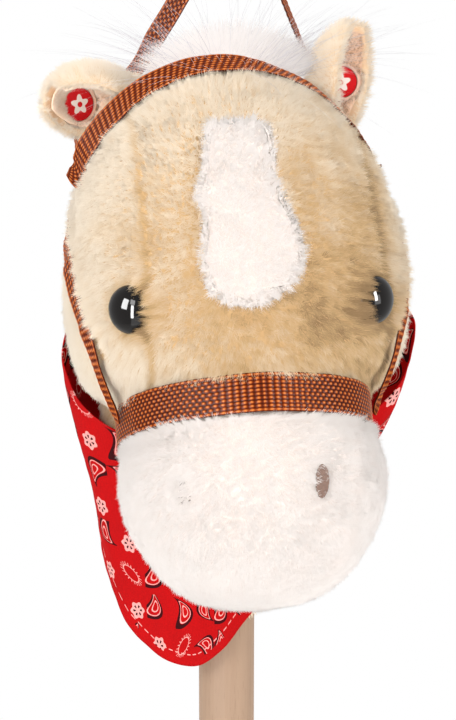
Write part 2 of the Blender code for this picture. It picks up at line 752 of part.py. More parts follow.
def ear_sheet(mesh_name, name, stations, columns, inset, trim):
    """Rows of points on the ear's inner bowl, trimmed at its rims."""
    rows = []
    for t in stations:
        reach = ear_half_arc(t) - trim
        rows.append([ear_point(name, t, angle, inset) for angle in np.linspace(-reach, reach, columns)])
    root, length, _, _ = ear_frame(name)
    return loft(mesh_name, rows, root + length * EARS[name][1] * MM * 0.5, ring=False)


def make_ears():
    """Each rolled ear, its lining, and the switch that its press patch works."""
    for name in EARS:
        outer_mesh = ear_sheet(f"ear_{name}", name, (-0.3, 0, 0.2, 0.4, 0.6, 0.8, 0.97), 9, 0, 0)
        outer = add(f"ear_{name}", outer_mesh, TAN_PLUSH)
        thicken(outer, EAR_WALL, 1)
        subdivide(outer)
        lining_stations = (0.02, 0.2, 0.4, 0.6, 0.78, 0.9)
        inset = EAR_LINING + EAR_LINING_GAP
        lining_mesh = ear_sheet(f"ear_lining_{name}", name, lining_stations, 9, inset, math.radians(14))
        lining = add(f"ear_lining_{name}", lining_mesh, EAR_CLOTH)
        thicken(lining, EAR_LINING, 1)

        t, angle = SWITCH_AT[name]
        wall = ear_point(name, t, angle)
        axis_point = ear_point(name, t, angle, ear_radius(name, t))
        there = facing(wall, axis_point - wall)
        case_r = SWITCH_CASE_DIAMETER / 2
        floor = -SWITCH_SINK
        bore = PATCH_DIAMETER / 2 + SWITCH_RUNNING_GAP
        top = floor + SWITCH_CASE_DEPTH
        inner_floor = floor + SWITCH_CASE_FLOOR
        profile = [(0, inner_floor), (bore, inner_floor), (bore, top)]
        profile += [(case_r, top), (case_r, floor), (0, floor)]
        turned(f"ear_switch_case_{name}", profile, WHITE_PLASTIC, steps=28, place=there)
        low = inner_floor + CLEAR + SWITCH_TRAVEL
        high = low + PLUNGER_THICKNESS
        edge = PATCH_DIAMETER / 2 - 0.3 * MM
        profile = [(0, high), (edge - 0.3 * MM, high), (edge, high - 0.3 * MM), (edge, low), (0, low)]
        turned(f"ear_plunger_{name}", profile, WHITE_PLASTIC, steps=28, place=there)
        low = high + CLEAR
        high = low + PATCH_THICKNESS
        edge = PATCH_DIAMETER / 2
        profile = [(0, high + 0.3 * MM), (edge * 0.7, high + 0.1 * MM)]
        profile += [(edge, high - 0.4 * MM), (edge, low), (0, low)]
        turned(f"ear_patch_{name}", profile, RED_CLOTH, steps=28, place=there)
        pocket = drum(f"switch_pocket_{name}", case_r + CLEAR, floor - CLEAR, 11 * MM, there, sides=28)
        pocket = cutter(f"switch_pocket_{name}", pocket)
        boolean(outer, pocket)
        boolean(lining, pocket)
        boolean(outer, head_clear)
        boolean(lining, head_clear)


def ribbon(name, centres, across, normals, width, mat, thickness=WEBBING_THICKNESS, half_widths=None):
    """A strap along points, from its width directions, with its wall on the side of the normals."""
    halves = half_widths or [width / 2] * len(centres)
    rows = [[c - w * h, c + w * h] for c, w, h in zip(centres, across, halves)]
    middle = len(rows) // 2
    mesh = loft(name, rows, centres[middle - 1] - normals[middle - 1] * width, ring=False)
    ob = add(name, mesh, mat)
    thicken(ob, thickness, 1)
    return ob


def make_noseband():
    """The wide webbing ring over the seam between head and muzzle, lower under the chin."""
    count = 48
    edges = []
    for i in range(count):
        angle = 2 * math.pi * i / count
        middle = NOSEBAND_AT + NOSEBAND_CHIN_DROP * max(-math.cos(angle), 0) ** 2
        reach = 0
        for share in np.linspace(-0.5, 0.5, 9):
            s = middle + share * NOSEBAND_WIDTH
            place, _ = head_hit(math.sin(angle), s, math.cos(angle))
            reach = max(reach, (place - on_head(0, s, 0)).length)
        reach += STRAP_LIFT
        edges.append([
            on_head(reach * math.sin(angle), middle + share * NOSEBAND_WIDTH, reach * math.cos(angle))
            for share in (-0.5, 0.5)
        ])
    rows = [[pair[k] for pair in edges] for k in (0, 1)]
    ob = add("noseband", loft("noseband", rows, on_head(0, NOSEBAND_AT, 0)), BROWN_WEBBING)
    thicken(ob, WEBBING_THICKNESS, 1)
    return ob


def make_browband():
    """The narrow strap over the crown in front of the ears, ending at the side seams."""
    core = from_stick(0, 0, 0)
    rows = []
    turns, tilts = zip(*BROWBAND_TILT)
    for angle in np.linspace(-BROWBAND_REACH, BROWBAND_REACH, 41):
        up = math.cos(angle)
        middle = BROWBAND_FORWARD - 84 * MM * math.tan(BROWBAND_LEAN) * (1 - up)
        edges = []
        for share in (0.5, -0.5):
            start = core + Vector((0, -middle - share * BROWBAND_WIDTH, 0))
            place, normal, _, _ = head_tree.ray_cast(start, Vector((math.sin(angle), 0, up)))
            edges.append(place + normal * 1.5 * STRAP_LIFT)
        front, back = edges
        along = (back - front).normalized()
        out = (normal - along * normal.dot(along)).normalized()
        tilt = math.radians(np.interp(math.degrees(angle), turns, tilts))
        rows.append([front, front + (along * math.cos(tilt) + out * math.sin(tilt)) * BROWBAND_WIDTH])
    ob = add("browband", loft("browband", rows, core, ring=False), BROWN_WEBBING)
    thicken(ob, WEBBING_THICKNESS, 1)


def round_ends(centres, width, first=False, last=False):
    """Half widths that end a strap in a half circle."""
    run = np.concatenate([[0], np.cumsum([(q - p).length for p, q in zip(centres, centres[1:])])])
    halves = []
    for at in run:
        left = min(at if first else width, run[-1] - at if last else width, width / 2)
        halves.append(max(math.sqrt((width / 2) ** 2 - (width / 2 - left) ** 2), 0.15 * width))
    return halves


def make_rein_cheeks(noseband):
    """Each rein's stretch from the noseband round the cheek to behind the ear."""
    bpy.context.view_layer.update()
    band_tree = BVHTree.FromObject(noseband, bpy.context.evaluated_depsgraph_get())
    for side, name in ((-1, "right"), (1, "left")):
        route = [from_stick(side * x * MM, f * MM, h * MM) for x, f, h in REIN_CHEEK_ROUTE]
        beyond = route[-1] + (route[-1] - route[-2]).normalized() * REIN_WIDTH / 2
        centres = smooth_path([*route, beyond], 34)
        run = np.cumsum([0] + [(q - p).length for p, q in zip(centres, centres[1:])])
        bases = [head_tree.find_nearest(point)[:2] for point in centres]
        lifts = []
        for near, normal in bases:
            band = band_tree.ray_cast(near + normal * 12 * MM, -normal)[0]
            lifts.append((band - near).length + REIN_OVER_BAND if band else REIN_LIFT)
        lifts = [max(lifts[max(i - 3, 0):i + 4]) for i in range(len(lifts))]
        lifts = np.convolve(np.pad(lifts, 2, mode="edge"), np.ones(5) / 5, mode="valid")
        placed = []
        normals = []
        for at, point, (near, normal), lift in zip(run, centres, bases, lifts):
            free = float(np.interp(at, (run[-1] - 34 * MM, run[-1] - 16 * MM), (0, 1)))
            placed.append((near + normal * float(lift)) * (1 - free) + point * free)
            normals.append((normal * (1 - free) + Vector((side, 0, 0)) * free).normalized())
        for _ in range(3):
            inner = [(a + 2 * b + c) / 4 for a, b, c in zip(placed, placed[1:], placed[2:])]
            placed = [placed[0], *inner, placed[-1]]
        ahead = [*placed[1:], placed[-1]]
        behind = [placed[0], *placed[:-1]]
        tangents = [(q - p).normalized() for p, q in zip(behind, ahead)]
        across = [t.cross(n).normalized() for t, n in zip(tangents, normals)]
        halves = round_ends(placed, REIN_WIDTH, last=True)
        ribbon(f"rein_cheek_{name}", placed, across, normals, REIN_WIDTH, BROWN_WEBBING, half_widths=halves)


def make_rein_loop():
    """The reins' loop, drawn up behind the ears, which swings about the lapped ends."""
    apex = from_stick(*(value * MM for value in REIN_APEX))
    x, forward, height = (value * MM for value in REIN_PIVOT)
    rising = {}
    for side, leg in REIN_LEGS.items():
        pivot = from_stick(side * (x + REIN_LAP), forward, height)
        points = [from_stick(side * a * MM, b * MM, c * MM) for a, b, c in leg]
        start = pivot - (points[0] - pivot).normalized() * REIN_WIDTH / 2
        rising[side] = [start, pivot, *points]
    shoulder = []
    for angle in (20, 60):
        a = math.radians(angle)
        shoulder.append(Vector((REIN_APEX_RADIUS * math.cos(a), 0, REIN_APEX_RADIUS * math.sin(a))))
    route = rising[-1] + [apex + Vector((-p.x, 0, p.z)) for p in shoulder]
    route += [apex + Vector((0, 0, REIN_APEX_RADIUS))]
    route += [apex + p for p in reversed(shoulder)] + rising[1][::-1]
    centres = smooth_path(route, 72)
    count = len(centres)
    across = []
    normals = []
    for i, point in enumerate(centres):
        tangent = (centres[min(i + 1, count - 1)] - centres[max(i - 1, 0)]).normalized()
        side = -1 if i < count / 2 else 1
        climb = (point.z - rising[1][1].z) / (apex.z - rising[1][1].z)
        share = float(np.interp(climb, (0.1, 0.4, 0.75, 0.97), (0, 1, 1, 0)))
        back = Vector((0, 1, 0))
        back = (back - tangent * back.dot(tangent)).normalized()
        out = tangent.cross(back)
        twist = REIN_TWIST[side] * share
        across.append(back * math.cos(twist) + out * math.sin(twist))
        normals.append(tangent.cross(across[-1]))
    halves = round_ends(centres, REIN_WIDTH, first=True, last=True)
    ribbon("rein_loop", centres, across, normals, REIN_WIDTH, BROWN_WEBBING, half_widths=halves)


def make_hair():
    """The forelock between the ears and the mane down the nape, as soft outer forms."""
    centre = from_stick(FORELOCK_SIDE, *FORELOCK_AT)
    bm = bmesh.new()
    bmesh.ops.create_icosphere(bm, subdivisions=3, radius=1)
    for vert in bm.verts:
        direction = vert.co.copy()
        tuft = 1 + 0.05 * math.sin(9 * math.atan2(direction.y, direction.x)) * (1 - abs(direction.z))
        vert.co = centre + Vector([a * b * tuft for a, b in zip(direction, FORELOCK_SIZE)])
    mesh = bpy.data.meshes.new("forelock")
    bm.to_mesh(mesh)
    bm.free()
    forelock = add("forelock", mesh, WHITE_HAIR)
    boolean(forelock, head_clear)

    path = smooth_path([on_head(0, s * MM, n * MM) for s, n in MANE_ROUTE], 9)
    rows = []
    count = 12
    for i, point in enumerate(path):
        tangent = (path[min(i + 1, len(path) - 1)] - path[max(i - 1, 0)]).normalized()
        out = Vector((1, 0, 0)).cross(tangent)
        if out.y < 0:
            out = -out
        share = math.sin(math.pi * (i + 0.7) / (len(path) + 0.4)) ** 0.5
        row = []
        for k in range(count):
            angle = 2 * math.pi * k / count
            across = MANE_HALF_WIDTH * share * math.sin(angle)
            row.append(point + Vector((across, 0, 0)) + out * MANE_THICKNESS * share * math.cos(angle))
        rows.append(row)
    mesh = loft("mane", rows, path[4], first=path[0], last=path[-1])
    mane = add("mane", mesh, WHITE_HAIR)
    subdivide(mane)
    boolean(mane, head_clear)
    boolean(mane, grown("forelock_clear", forelock, CLEAR))


def neck_reach(drop):
    """Half width, front and back of the neck at a drop under the head's centre."""
    drops, *reaches = zip(*reversed(NECK_SECTIONS))
    return [np.interp(drop / MM, drops, reach) * MM for reach in reaches]


def scarf_point(angle, share, neck_tree):
    """A point of the scarf from its angle round the neck and its way down from the top edge."""
    angles = [edge[0] for edge in SCARF_EDGES]
    top = np.interp(angle, angles, [edge[1] for edge in SCARF_EDGES]) * MM
    bottom = np.interp(angle, angles, [edge[2] for edge in SCARF_EDGES]) * MM
    height = top + (bottom - top) * share
    half_width, front, back = neck_reach(min(-height, SCARF_HANG_FROM))
    turn = math.radians(angle)
    sideways = math.sin(turn) ** 2
    high, low = SCARF_FLARE[1 if angle > 0 else -1]
    lift = SCARF_LIFT + sideways * (high + (low - high) * share)
    fold = 0.5 + 0.5 * math.sin(5 * turn + 4 * share)
    lift += SCARF_FOLD * fold * (0.25 + 0.75 * sideways)
    centre = (front + back) / 2
    depth = (front - back) / 2
    forward = centre + (depth + lift) * math.cos(turn)
    point = from_stick((half_width + lift) * math.sin(turn), forward, height)
    return lifted(lifted(point, SCARF_LIFT, neck_tree), 2 * SCARF_LIFT, head_tree)


def make_scarf(neck_cover):
    """The triangular scarf round the neck, and the knot and tails at its back."""
    bpy.context.view_layer.update()
    neck_tree = BVHTree.FromObject(neck_cover, bpy.context.evaluated_depsgraph_get())
    first = SCARF_EDGES[0][0]
    last = SCARF_EDGES[-1][0]
    rows = []
    for share in np.linspace(0, 1, 9):
        rows.append([scarf_point(angle, share, neck_tree) for angle in np.linspace(first, last, 49)])
    inside = from_stick(0, -15 * MM, -80 * MM)
    scarf = add("neck_scarf", loft("neck_scarf", rows, inside, ring=False), RED_CLOTH)
    thicken(scarf, SCARF_THICKNESS, 1)

    seat = scarf_point(first, 0.5, neck_tree)
    centre = Vector((0, seat.y + SCARF_THICKNESS + 0.6 * KNOT_SIZE[1], seat.z))
    bm = bmesh.new()
    bmesh.ops.create_icosphere(bm, subdivisions=2, radius=1)
    for vert in bm.verts:
        groove = 1 - 0.18 * math.exp(-((vert.co.x / 0.25) ** 2))
        vert.co = centre + Vector([a * b * groove for a, b in zip(vert.co, KNOT_SIZE)])
    mesh = bpy.data.meshes.new("scarf_knot")
    bm.to_mesh(mesh)
    bm.free()
    knot = add("scarf_knot", mesh, RED_CLOTH)
    for side in (-1, 1):
        rows = []
        for share in np.linspace(0, 1, 6):
            drop = TAIL_LENGTH * share
            half = TAIL_WIDTH / 2 * (0.35 + 0.65 * math.sin(math.pi / 2 * min(share * 1.6, 1)))
            half *= 1 if share < 0.8 else 1 - (share - 0.8) * 3
            lean = side * (7 * MM + drop * 0.35)
            point = centre + Vector((lean, 1 * MM + 6 * MM * math.sin(share * 2.2), -3 * MM - drop))
            rows.append([point + Vector((x * half, 0, 0)) for x in (-1, -0.3, 0.3, 1)])
        mesh = loft(f"scarf_tail_{side}", rows, centre, ring=False)
        tail = cutter(f"scarf_tail_{side}", mesh)
        thicken(tail, TAIL_THICKNESS, 0)
        boolean(knot, tail, "UNION")
    boolean(knot, grown("scarf_clear", scarf, CLEAR))


def make_sound_unit():
    """The case against the stick's front, open to the back, with its cover, speaker, board and cells."""
    width, depth, height = BOX_SIZE
    back = -(STICK_RADIUS + CLEAR)
    front = back - depth
    middle = Vector((0, (back + front) / 2, HEAD_HEIGHT - BOX_DROP))
    cover_depth = BOX_WALL
    case_depth = depth - cover_depth - CLEAR
    case_centre = Vector((0, front + case_depth / 2, middle.z))
    case = add("sound_case", box_mesh("sound_case", (width, case_depth, height), case_centre), WHITE_PLASTIC)
    bevel(case, 1 * MM, 2)
    room = (width - 2 * BOX_WALL, case_depth, height - 2 * BOX_WALL)
    room_centre = case_centre + Vector((0, BOX_WALL, 0))
    boolean(case, cutter("case_room", box_mesh("case_room", room, room_centre)))
    into_front = Matrix.Rotation(math.pi / 2, 4, "X")
    sound_axis = Matrix.Translation((0, front, middle.z)) @ into_front
    spots = [(0, 0)]
    for ring in range(1, GRILLE_RINGS + 1):
        for k in range(6 * ring):
            angle = 2 * math.pi * k / (6 * ring)
            spots.append((ring * 2 * GRILLE_HOLE * math.cos(angle), ring * 2 * GRILLE_HOLE * math.sin(angle)))
    grille = bmesh.new()
    hole = {"segments": 12, "radius1": GRILLE_HOLE / 2, "radius2": GRILLE_HOLE / 2, "depth": 6 * BOX_WALL}
    for x, z in spots:
        made = bmesh.ops.create_cone(grille, cap_ends=True, **hole)
        bmesh.ops.translate(grille, vec=(x, z, 0), verts=made["verts"])
    grille.transform(sound_axis)
    grille_mesh = bpy.data.meshes.new("grille_holes")
    grille.to_mesh(grille_mesh)
    grille.free()
    boolean(case, cutter("grille_holes", grille_mesh))

    post_x = width / 2 - BOX_WALL - POST_DIAMETER / 2 + 0.5 * MM
    post_back = case_centre.y + case_depth / 2
    for side in (-1, 1):
        spot = Matrix.Translation((side * post_x, 0, middle.z)) @ Matrix.Rotation(-math.pi / 2, 4, "X")
        post = drum(f"case_post_{side}", POST_DIAMETER / 2, front + BOX_WALL / 2, post_back, spot, sides=16)
        boolean(case, cutter(f"case_post_{side}", post), "UNION")
        pilot_low = post_back - 9 * MM
        pilot_r = BOX_SCREW_DIAMETER / 2 + 0.1 * MM
        pilot = drum(f"case_pilot_{side}", pilot_r, pilot_low, post_back + 2 * MM, spot, sides=12)
        boolean(case, cutter(f"case_pilot_{side}", pilot))

    lid_centre = Vector((0, back - cover_depth / 2, middle.z))
    lid_mesh = box_mesh("sound_case_cover", (width, cover_depth, height), lid_centre)
    lid = add("sound_case_cover", lid_mesh, WHITE_PLASTIC)
    bevel(lid, 0.6 * MM, 2)
    for side, name in ((-1, "right"), (1, "left")):
        spot = Matrix.Translation((side * post_x, 0, middle.z)) @ Matrix.Rotation(-math.pi / 2, 4, "X")
        shank = BOX_SCREW_DIAMETER / 2 - 0.2 * MM
        hole_r = BOX_SCREW_DIAMETER / 2 + CLEAR
        hole = drum(f"lid_hole_{side}", hole_r, back - 3 * BOX_WALL, back + 2 * MM, spot, sides=16)
        boolean(lid, cutter(f"lid_hole_{side}", hole))
        top = back + CLEAR
        profile = [(0, top + 1.2 * MM), (1.4 * MM, top + 1.1 * MM), (2.1 * MM, top + 0.5 * MM)]
        profile += [(2.1 * MM, top), (shank, top), (shank, top - 7 * MM), (0, top - 8 * MM)]
        turned(f"sound_case_screw_{name}", profile, STEEL, steps=16, place=spot)

    speaker_front = front + BOX_WALL + CLEAR
    r = SPEAKER_DIAMETER / 2
    facing_back = Matrix.Translation((0, 0, middle.z)) @ Matrix.Rotation(-math.pi / 2, 4, "X")
    low = speaker_front
    high = speaker_front + SPEAKER_DEPTH
    profile = [(0, high), (r * 0.45, high), (r * 0.5, high - 3 * MM), (r, low + 2 * MM)]
    profile += [(r, low), (r - 2 * MM, low), (r * 0.35, low + 2.5 * MM), (0, low + 1.6 * MM)]
    turned("speaker", profile, STEEL, steps=32, place=facing_back)

    board_front = high + CLEAR
    board_width = 2 * (post_x - POST_DIAMETER / 2 - CLEAR)
    board_size = (board_width, BOARD_THICKNESS, height - 2 * BOX_WALL - 2 * CLEAR)
    board_centre = Vector((0, board_front + BOARD_THICKNESS / 2, middle.z))
    board_mesh = box_mesh("circuit_board", board_size, board_centre)
    board = add("circuit_board", board_mesh, GREEN_BOARD, smooth=False)
    chip_size = (9 * MM, 2 * MM, 9 * MM)
    chip_centre = board_centre + Vector((-12 * MM, BOARD_THICKNESS / 2 + 0.9 * MM, 8 * MM))
    boolean(board, cutter("board_chip", box_mesh("board_chip", chip_size, chip_centre)), "UNION")

    stack_length = 3 * CELL_THICKNESS
    cell_y = back - cover_depth - CLEAR - CELL_DIAMETER / 2 - 0.5 * MM
    cell_z = middle.z - height / 2 + BOX_WALL + CLEAR + CELL_DIAMETER / 2 + 1 * MM
    along_x = Matrix.Translation((-stack_length / 2, cell_y, cell_z)) @ Matrix.Rotation(math.pi / 2, 4, "Y")
    cell_r = CELL_DIAMETER / 2
    profile = [(0, stack_length)]
    for cell in (2, 1, 0):
        low = cell * CELL_THICKNESS
        high = low + CELL_THICKNESS
        profile += [(cell_r - 1 * MM, high - CELL_GROOVE / 2), (cell_r, high - 1 * MM)]
        profile += [(cell_r, low + CELL_GROOVE / 2)]
    profile += [(0, 0)]
    turned("button_cells", profile, STEEL, steps=24, place=along_x)
    for side, name in ((-1, "right"), (1, "left")):
        x = side * (stack_length / 2 + CLEAR + CONTACT_THICKNESS / 2)
        size = (CONTACT_THICKNESS, CELL_DIAMETER * 0.6, CELL_DIAMETER * 0.9)
        mesh = box_mesh(f"cell_contact_{name}", size, (x, cell_y, cell_z))
        add(f"cell_contact_{name}", mesh, STEEL, smooth=False)
    return (front - CLEAR, back + CLEAR + 2 * MM, middle.z)


def hollow_stuffing(head_stuffing, neck_stuffing, box_room):
    """The stick's bore through the stuffing, the pocket round its top disc and the sound unit's pocket."""
    bore_low = HEAD_HEIGHT - NECK_COLLAR_BOTTOM - 5 * MM
    bore = cutter("stick_bore", drum("stick_bore", STICK_RADIUS + CLEAR, bore_low, STICK_TOP + 1 * MM))
    boolean(head_stuffing, bore)
    boolean(neck_stuffing, bore)
    disc_top = STICK_TOP + 2 * CLEAR + TOP_DISC_THICKNESS
    disc_room = drum("disc_room", TOP_DISC_DIAMETER / 2 + CLEAR, STICK_TOP, disc_top)
    boolean(head_stuffing, cutter("disc_room", disc_room))
    head_r = SCREW_HEAD_DIAMETER / 2 + CLEAR
    screw_room = drum("screw_room", head_r, disc_top - 1 * MM, disc_top + SCREW_HEAD_HEIGHT + CLEAR, sides=20)
    boolean(head_stuffing, cutter("screw_room", screw_room))
    front, back, level = box_room
    size = (BOX_SIZE[0] + 2 * CLEAR, back - front, BOX_SIZE[2] + 2 * CLEAR)
    pocket = box_mesh("sound_pocket", size, (0, (front + back) / 2, level))
    boolean(head_stuffing, cutter("sound_pocket", pocket))


make_stick()
make_foot_cap()
make_stick_top()
head_cover, head_stuffing = make_head()
neck_cover, neck_stuffing = make_neck()
make_eyes(head_cover, head_stuffing)
make_nostrils()
make_ears()
make_rein_cheeks(make_noseband())
make_browband()
make_rein_loop()
make_hair()
make_scarf(neck_cover)
room = make_sound_unit()
hollow_stuffing(head_stuffing, neck_stuffing, room)
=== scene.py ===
import math
from contextlib import contextmanager
from functools import partial
from math import pi

import bmesh
import bpy
import numpy as np
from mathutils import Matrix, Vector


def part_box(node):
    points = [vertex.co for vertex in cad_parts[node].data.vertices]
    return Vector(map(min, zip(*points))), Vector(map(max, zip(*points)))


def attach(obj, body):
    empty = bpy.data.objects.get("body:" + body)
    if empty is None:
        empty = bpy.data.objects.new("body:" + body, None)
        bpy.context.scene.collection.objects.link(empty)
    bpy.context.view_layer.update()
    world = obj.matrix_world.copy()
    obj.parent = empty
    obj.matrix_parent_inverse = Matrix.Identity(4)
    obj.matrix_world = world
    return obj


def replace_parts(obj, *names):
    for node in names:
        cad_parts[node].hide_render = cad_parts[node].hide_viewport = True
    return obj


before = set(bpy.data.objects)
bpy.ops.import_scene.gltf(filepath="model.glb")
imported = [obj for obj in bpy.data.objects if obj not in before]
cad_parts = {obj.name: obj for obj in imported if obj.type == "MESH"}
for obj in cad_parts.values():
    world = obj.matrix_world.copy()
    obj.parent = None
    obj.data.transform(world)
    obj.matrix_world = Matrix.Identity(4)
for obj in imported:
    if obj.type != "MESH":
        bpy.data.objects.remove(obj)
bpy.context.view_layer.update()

mm = 0.001
scene = bpy.context.scene


def linear(text):  # an sRGB hex colour made linear
    c = np.array([int(text[i:i + 2], 16) for i in (1, 3, 5)]) / 255
    c = np.where(c <= 0.04045, c / 12.92, ((c + 0.055) / 1.055) ** 2.4)
    return (*c.tolist(), 1.0)


def given(value):  # a hex colour made linear, or the value itself
    return linear(value) if isinstance(value, str) else value


def node(tree, kind, inputs=None, **settings):  # its inputs take values, hex colours or links
    made = tree.nodes.new("ShaderNode" + kind)
    for key, value in settings.items():
        setattr(made, key, value)
    for key, value in (inputs or {}).items():
        if isinstance(value, bpy.types.Node):
            value = value.outputs[0]
        if isinstance(value, bpy.types.NodeSocket):
            tree.links.new(value, made.inputs[key])
        else:
            made.inputs[key].default_value = given(value)
    return made


def attribute(tree, name):
    return node(tree, "Attribute", attribute_name=name).outputs["Fac"]


def calculate(tree, operation, *values):
    return node(tree, "Math", dict(enumerate(values)), operation=operation)


def mixed(tree, share, first, second, **settings):
    return node(tree, "MixRGB", {"Fac": share, "Color1": first, "Color2": second}, **settings)


def noise(tree, scale, detail, stretch=None, **inputs):
    place = node(tree, "TexCoord").outputs["Object"]
    if stretch:
        place = node(tree, "Mapping", {"Vector": place, "Scale": stretch})
    return node(tree, "TexNoise", {"Vector": place, "Scale": scale, "Detail": detail, **inputs})


def ramp(tree, share, *stops):
    made = node(tree, "ValToRGB", {"Fac": share})
    elements = made.color_ramp.elements
    first, *between, last = stops
    for element, (place, colour) in zip(elements, (first, last)):
        element.position, element.color = place, linear(colour)
    for place, colour in between:
        elements.new(place).color = linear(colour)
    return made


def newMaterial(name, **sockets):
    made = bpy.data.materials.new(name)
    made.use_nodes = True
    shader = made.node_tree.nodes["Principled BSDF"]
    for key, value in sockets.items():
        shader.inputs[key.replace("_", " ")].default_value = given(value)
    return made, made.node_tree


def paint(tree, colour, height=None, strength=0, reach=0):  # the shader's colour and relief
    shader = tree.nodes["Principled BSDF"]
    tree.links.new(colour.outputs[0], shader.inputs["Base Color"])
    if height is not None:
        bump = node(tree, "Bump", {"Height": height, "Strength": strength, "Distance": reach})
        tree.links.new(bump.outputs[0], shader.inputs["Normal"])


def lengths(v):
    return np.linalg.norm(v, axis=-1)


def unit(v):
    return v / np.maximum(lengths(v)[..., None], 1e-12)


def dot(a, b):
    return (a * b).sum(axis=-1)


def grow(value, start, over):  # 0 to 1 over so many mm, from a start in mm
    return np.clip((value - start * mm) / (over * mm), 0, 1)


def fade(value, end, over):  # 1 to 0 over so many mm, up to an end in mm
    return np.clip((end * mm - value) / (over * mm), 0, 1)


def pair(name):
    return f"{name}_right", f"{name}_left"


def waves(points, size, seed):  # soft noise: eight sine waves of about one size
    rng = np.random.default_rng(seed)
    ways = unit(rng.normal(size=(8, 3))) * (2 * pi / size) * rng.uniform(0.6, 1.5, (8, 1))
    return np.sin(points @ ways.T + rng.uniform(0, 6.3, 8)).sum(axis=1) / 4


def drift(points, size, seed):
    return rowsOf(*(waves(points, size, seed + k) for k in range(3)))


def closest(points, targets, chunk=8000):
    middle = targets.mean(axis=0)
    a, b = (points - middle).astype(np.float32), (targets - middle).astype(np.float32)
    size = (b ** 2).sum(axis=1)
    return np.concatenate([(size - 2 * a[i:i + chunk] @ b.T).argmin(axis=1) for i in range(0, len(a), chunk)])


def nearest(points, targets):
    return lengths(points - targets[closest(points, targets)])


def readMesh(items, key, width, kind=float):
    values = np.empty(len(items) * width, dtype=kind)
    items.foreach_get(key, values)
    return values.reshape(-1, width)


def writeMesh(items, key, values, kind=np.float32):
    items.foreach_set(key, np.ascontiguousarray(values, dtype=kind).ravel())


def placed(name, data):
    ob = bpy.data.objects.new(name, data)
    scene.collection.objects.link(ob)
    return ob


def finish(name, points, faces, mat, body="toy"):
    mesh = bpy.data.meshes.new(name)
    faces = np.asarray(faces)
    mesh.vertices.add(len(points))
    writeMesh(mesh.vertices, "co", points)
    mesh.loops.add(faces.size)
    writeMesh(mesh.loops, "vertex_index", faces, np.int32)
    mesh.polygons.add(len(faces))
    writeMesh(mesh.polygons, "loop_start", np.arange(0, faces.size, faces.shape[1]), np.int32)
    mesh.update(calc_edges=True)
    mesh.shade_smooth()
    mesh.materials.append(mat)
    ob = placed(name, mesh)
    if body:
        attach(ob, body)
    return ob


def setFloat(mesh, name, values):
    writeMesh(mesh.attributes.new(name, "FLOAT", "POINT").data, "value", values)


@contextmanager
def meshEdited(mesh):
    bm = bmesh.new()
    bm.from_mesh(mesh)
    yield bm
    bm.to_mesh(mesh)
    bm.free()


def rowsOf(*values):
    return np.stack(np.broadcast_arrays(*values), axis=1)


def cadArrays(name):  # a CAD node's points and triangles, merged and cleaned
    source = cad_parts[name].data
    source.calc_loop_triangles()
    points = readMesh(source.vertices, "co", 3)
    corners = readMesh(source.loop_triangles, "vertices", 3, np.int64)
    _, first, same = np.unique(np.round(points * 1e5), axis=0, return_index=True, return_inverse=True)
    tris = same.reshape(-1)[corners]
    row = np.sort(tris, axis=1)
    _, single = np.unique(row, axis=0, return_index=True)
    single = np.sort(single)
    return points[first], tris[single[(np.diff(row[single], axis=1) > 0).all(axis=1)]]


def crosses(points, tris):  # each triangle's cross product and middle
    a, b, c = (points[tris[:, k]] for k in range(3))
    return np.cross(b - a, c - a), (a + b + c) / 3


def smoothNormals(points, tris, cross):
    normals = np.zeros_like(points)
    for k in range(3):
        np.add.at(normals, tris[:, k], cross)
    return unit(normals)


def shell(name):
    points, tris = cadArrays(name)
    return points, tris, smoothNormals(points, tris, crosses(points, tris)[0])


def outside(points, tris, towards, least=0.2):  # triangles that face out
    cross, middle = crosses(points, tris)
    outer = dot(unit(cross), unit(middle - towards)) > least
    return outer, smoothNormals(points, tris[outer], cross[outer])


def surfaceGrid(rows, columns, ring=False, loop=False):  # quads over rows of points
    i, j = np.meshgrid(np.arange(rows - (not loop)), np.arange(columns - (not ring)), indexing="ij")
    here, below, k = i * columns, (i + 1) % rows * columns, (j + 1) % columns
    return np.stack([here + j, here + k, below + k, below + j], axis=-1).reshape(-1, 4)


# camera at the photograph's angle: a little to the horse's right and above
camera = {"target": (0.0007, 0, 0.8), "distance": 1.1, "azimuth": 8, "elevation": 18, "halfHeight": 0.1566}


def makeCamera(target, distance, azimuth, elevation, halfHeight):
    az, el = math.radians(azimuth), math.radians(elevation)
    away = np.array([-math.sin(az) * math.cos(el), -math.cos(az) * math.cos(el), math.sin(el)])
    data = bpy.data.cameras.new("camera")
    data.sensor_fit = "VERTICAL"
    data.angle = 2 * math.atan(halfHeight / distance)
    data.clip_start, data.clip_end = 0.05, 50
    ob = scene.camera = placed("camera", data)
    ob.location = np.array(target) + away * distance
    ob.rotation_euler = (math.radians(90) - el, 0, -az)


makeCamera(**camera)

# the head's own frame, as in the CAD: s runs down the face and n comes out of it
head = {"centre": (0.0003, -0.022, 0.8523), "tilt": 30, "lean": -0.013}
headCentre = np.array(head["centre"])
tilt = math.radians(head["tilt"])
downFace = np.array([0, -math.sin(tilt), -math.cos(tilt)])
outFace = np.array([0, -math.cos(tilt), math.sin(tilt)])


def inHead(points):
    v = points - headCentre
    s = v @ downFace
    return v[:, 0] + head["lean"] * s, s, v @ outFace


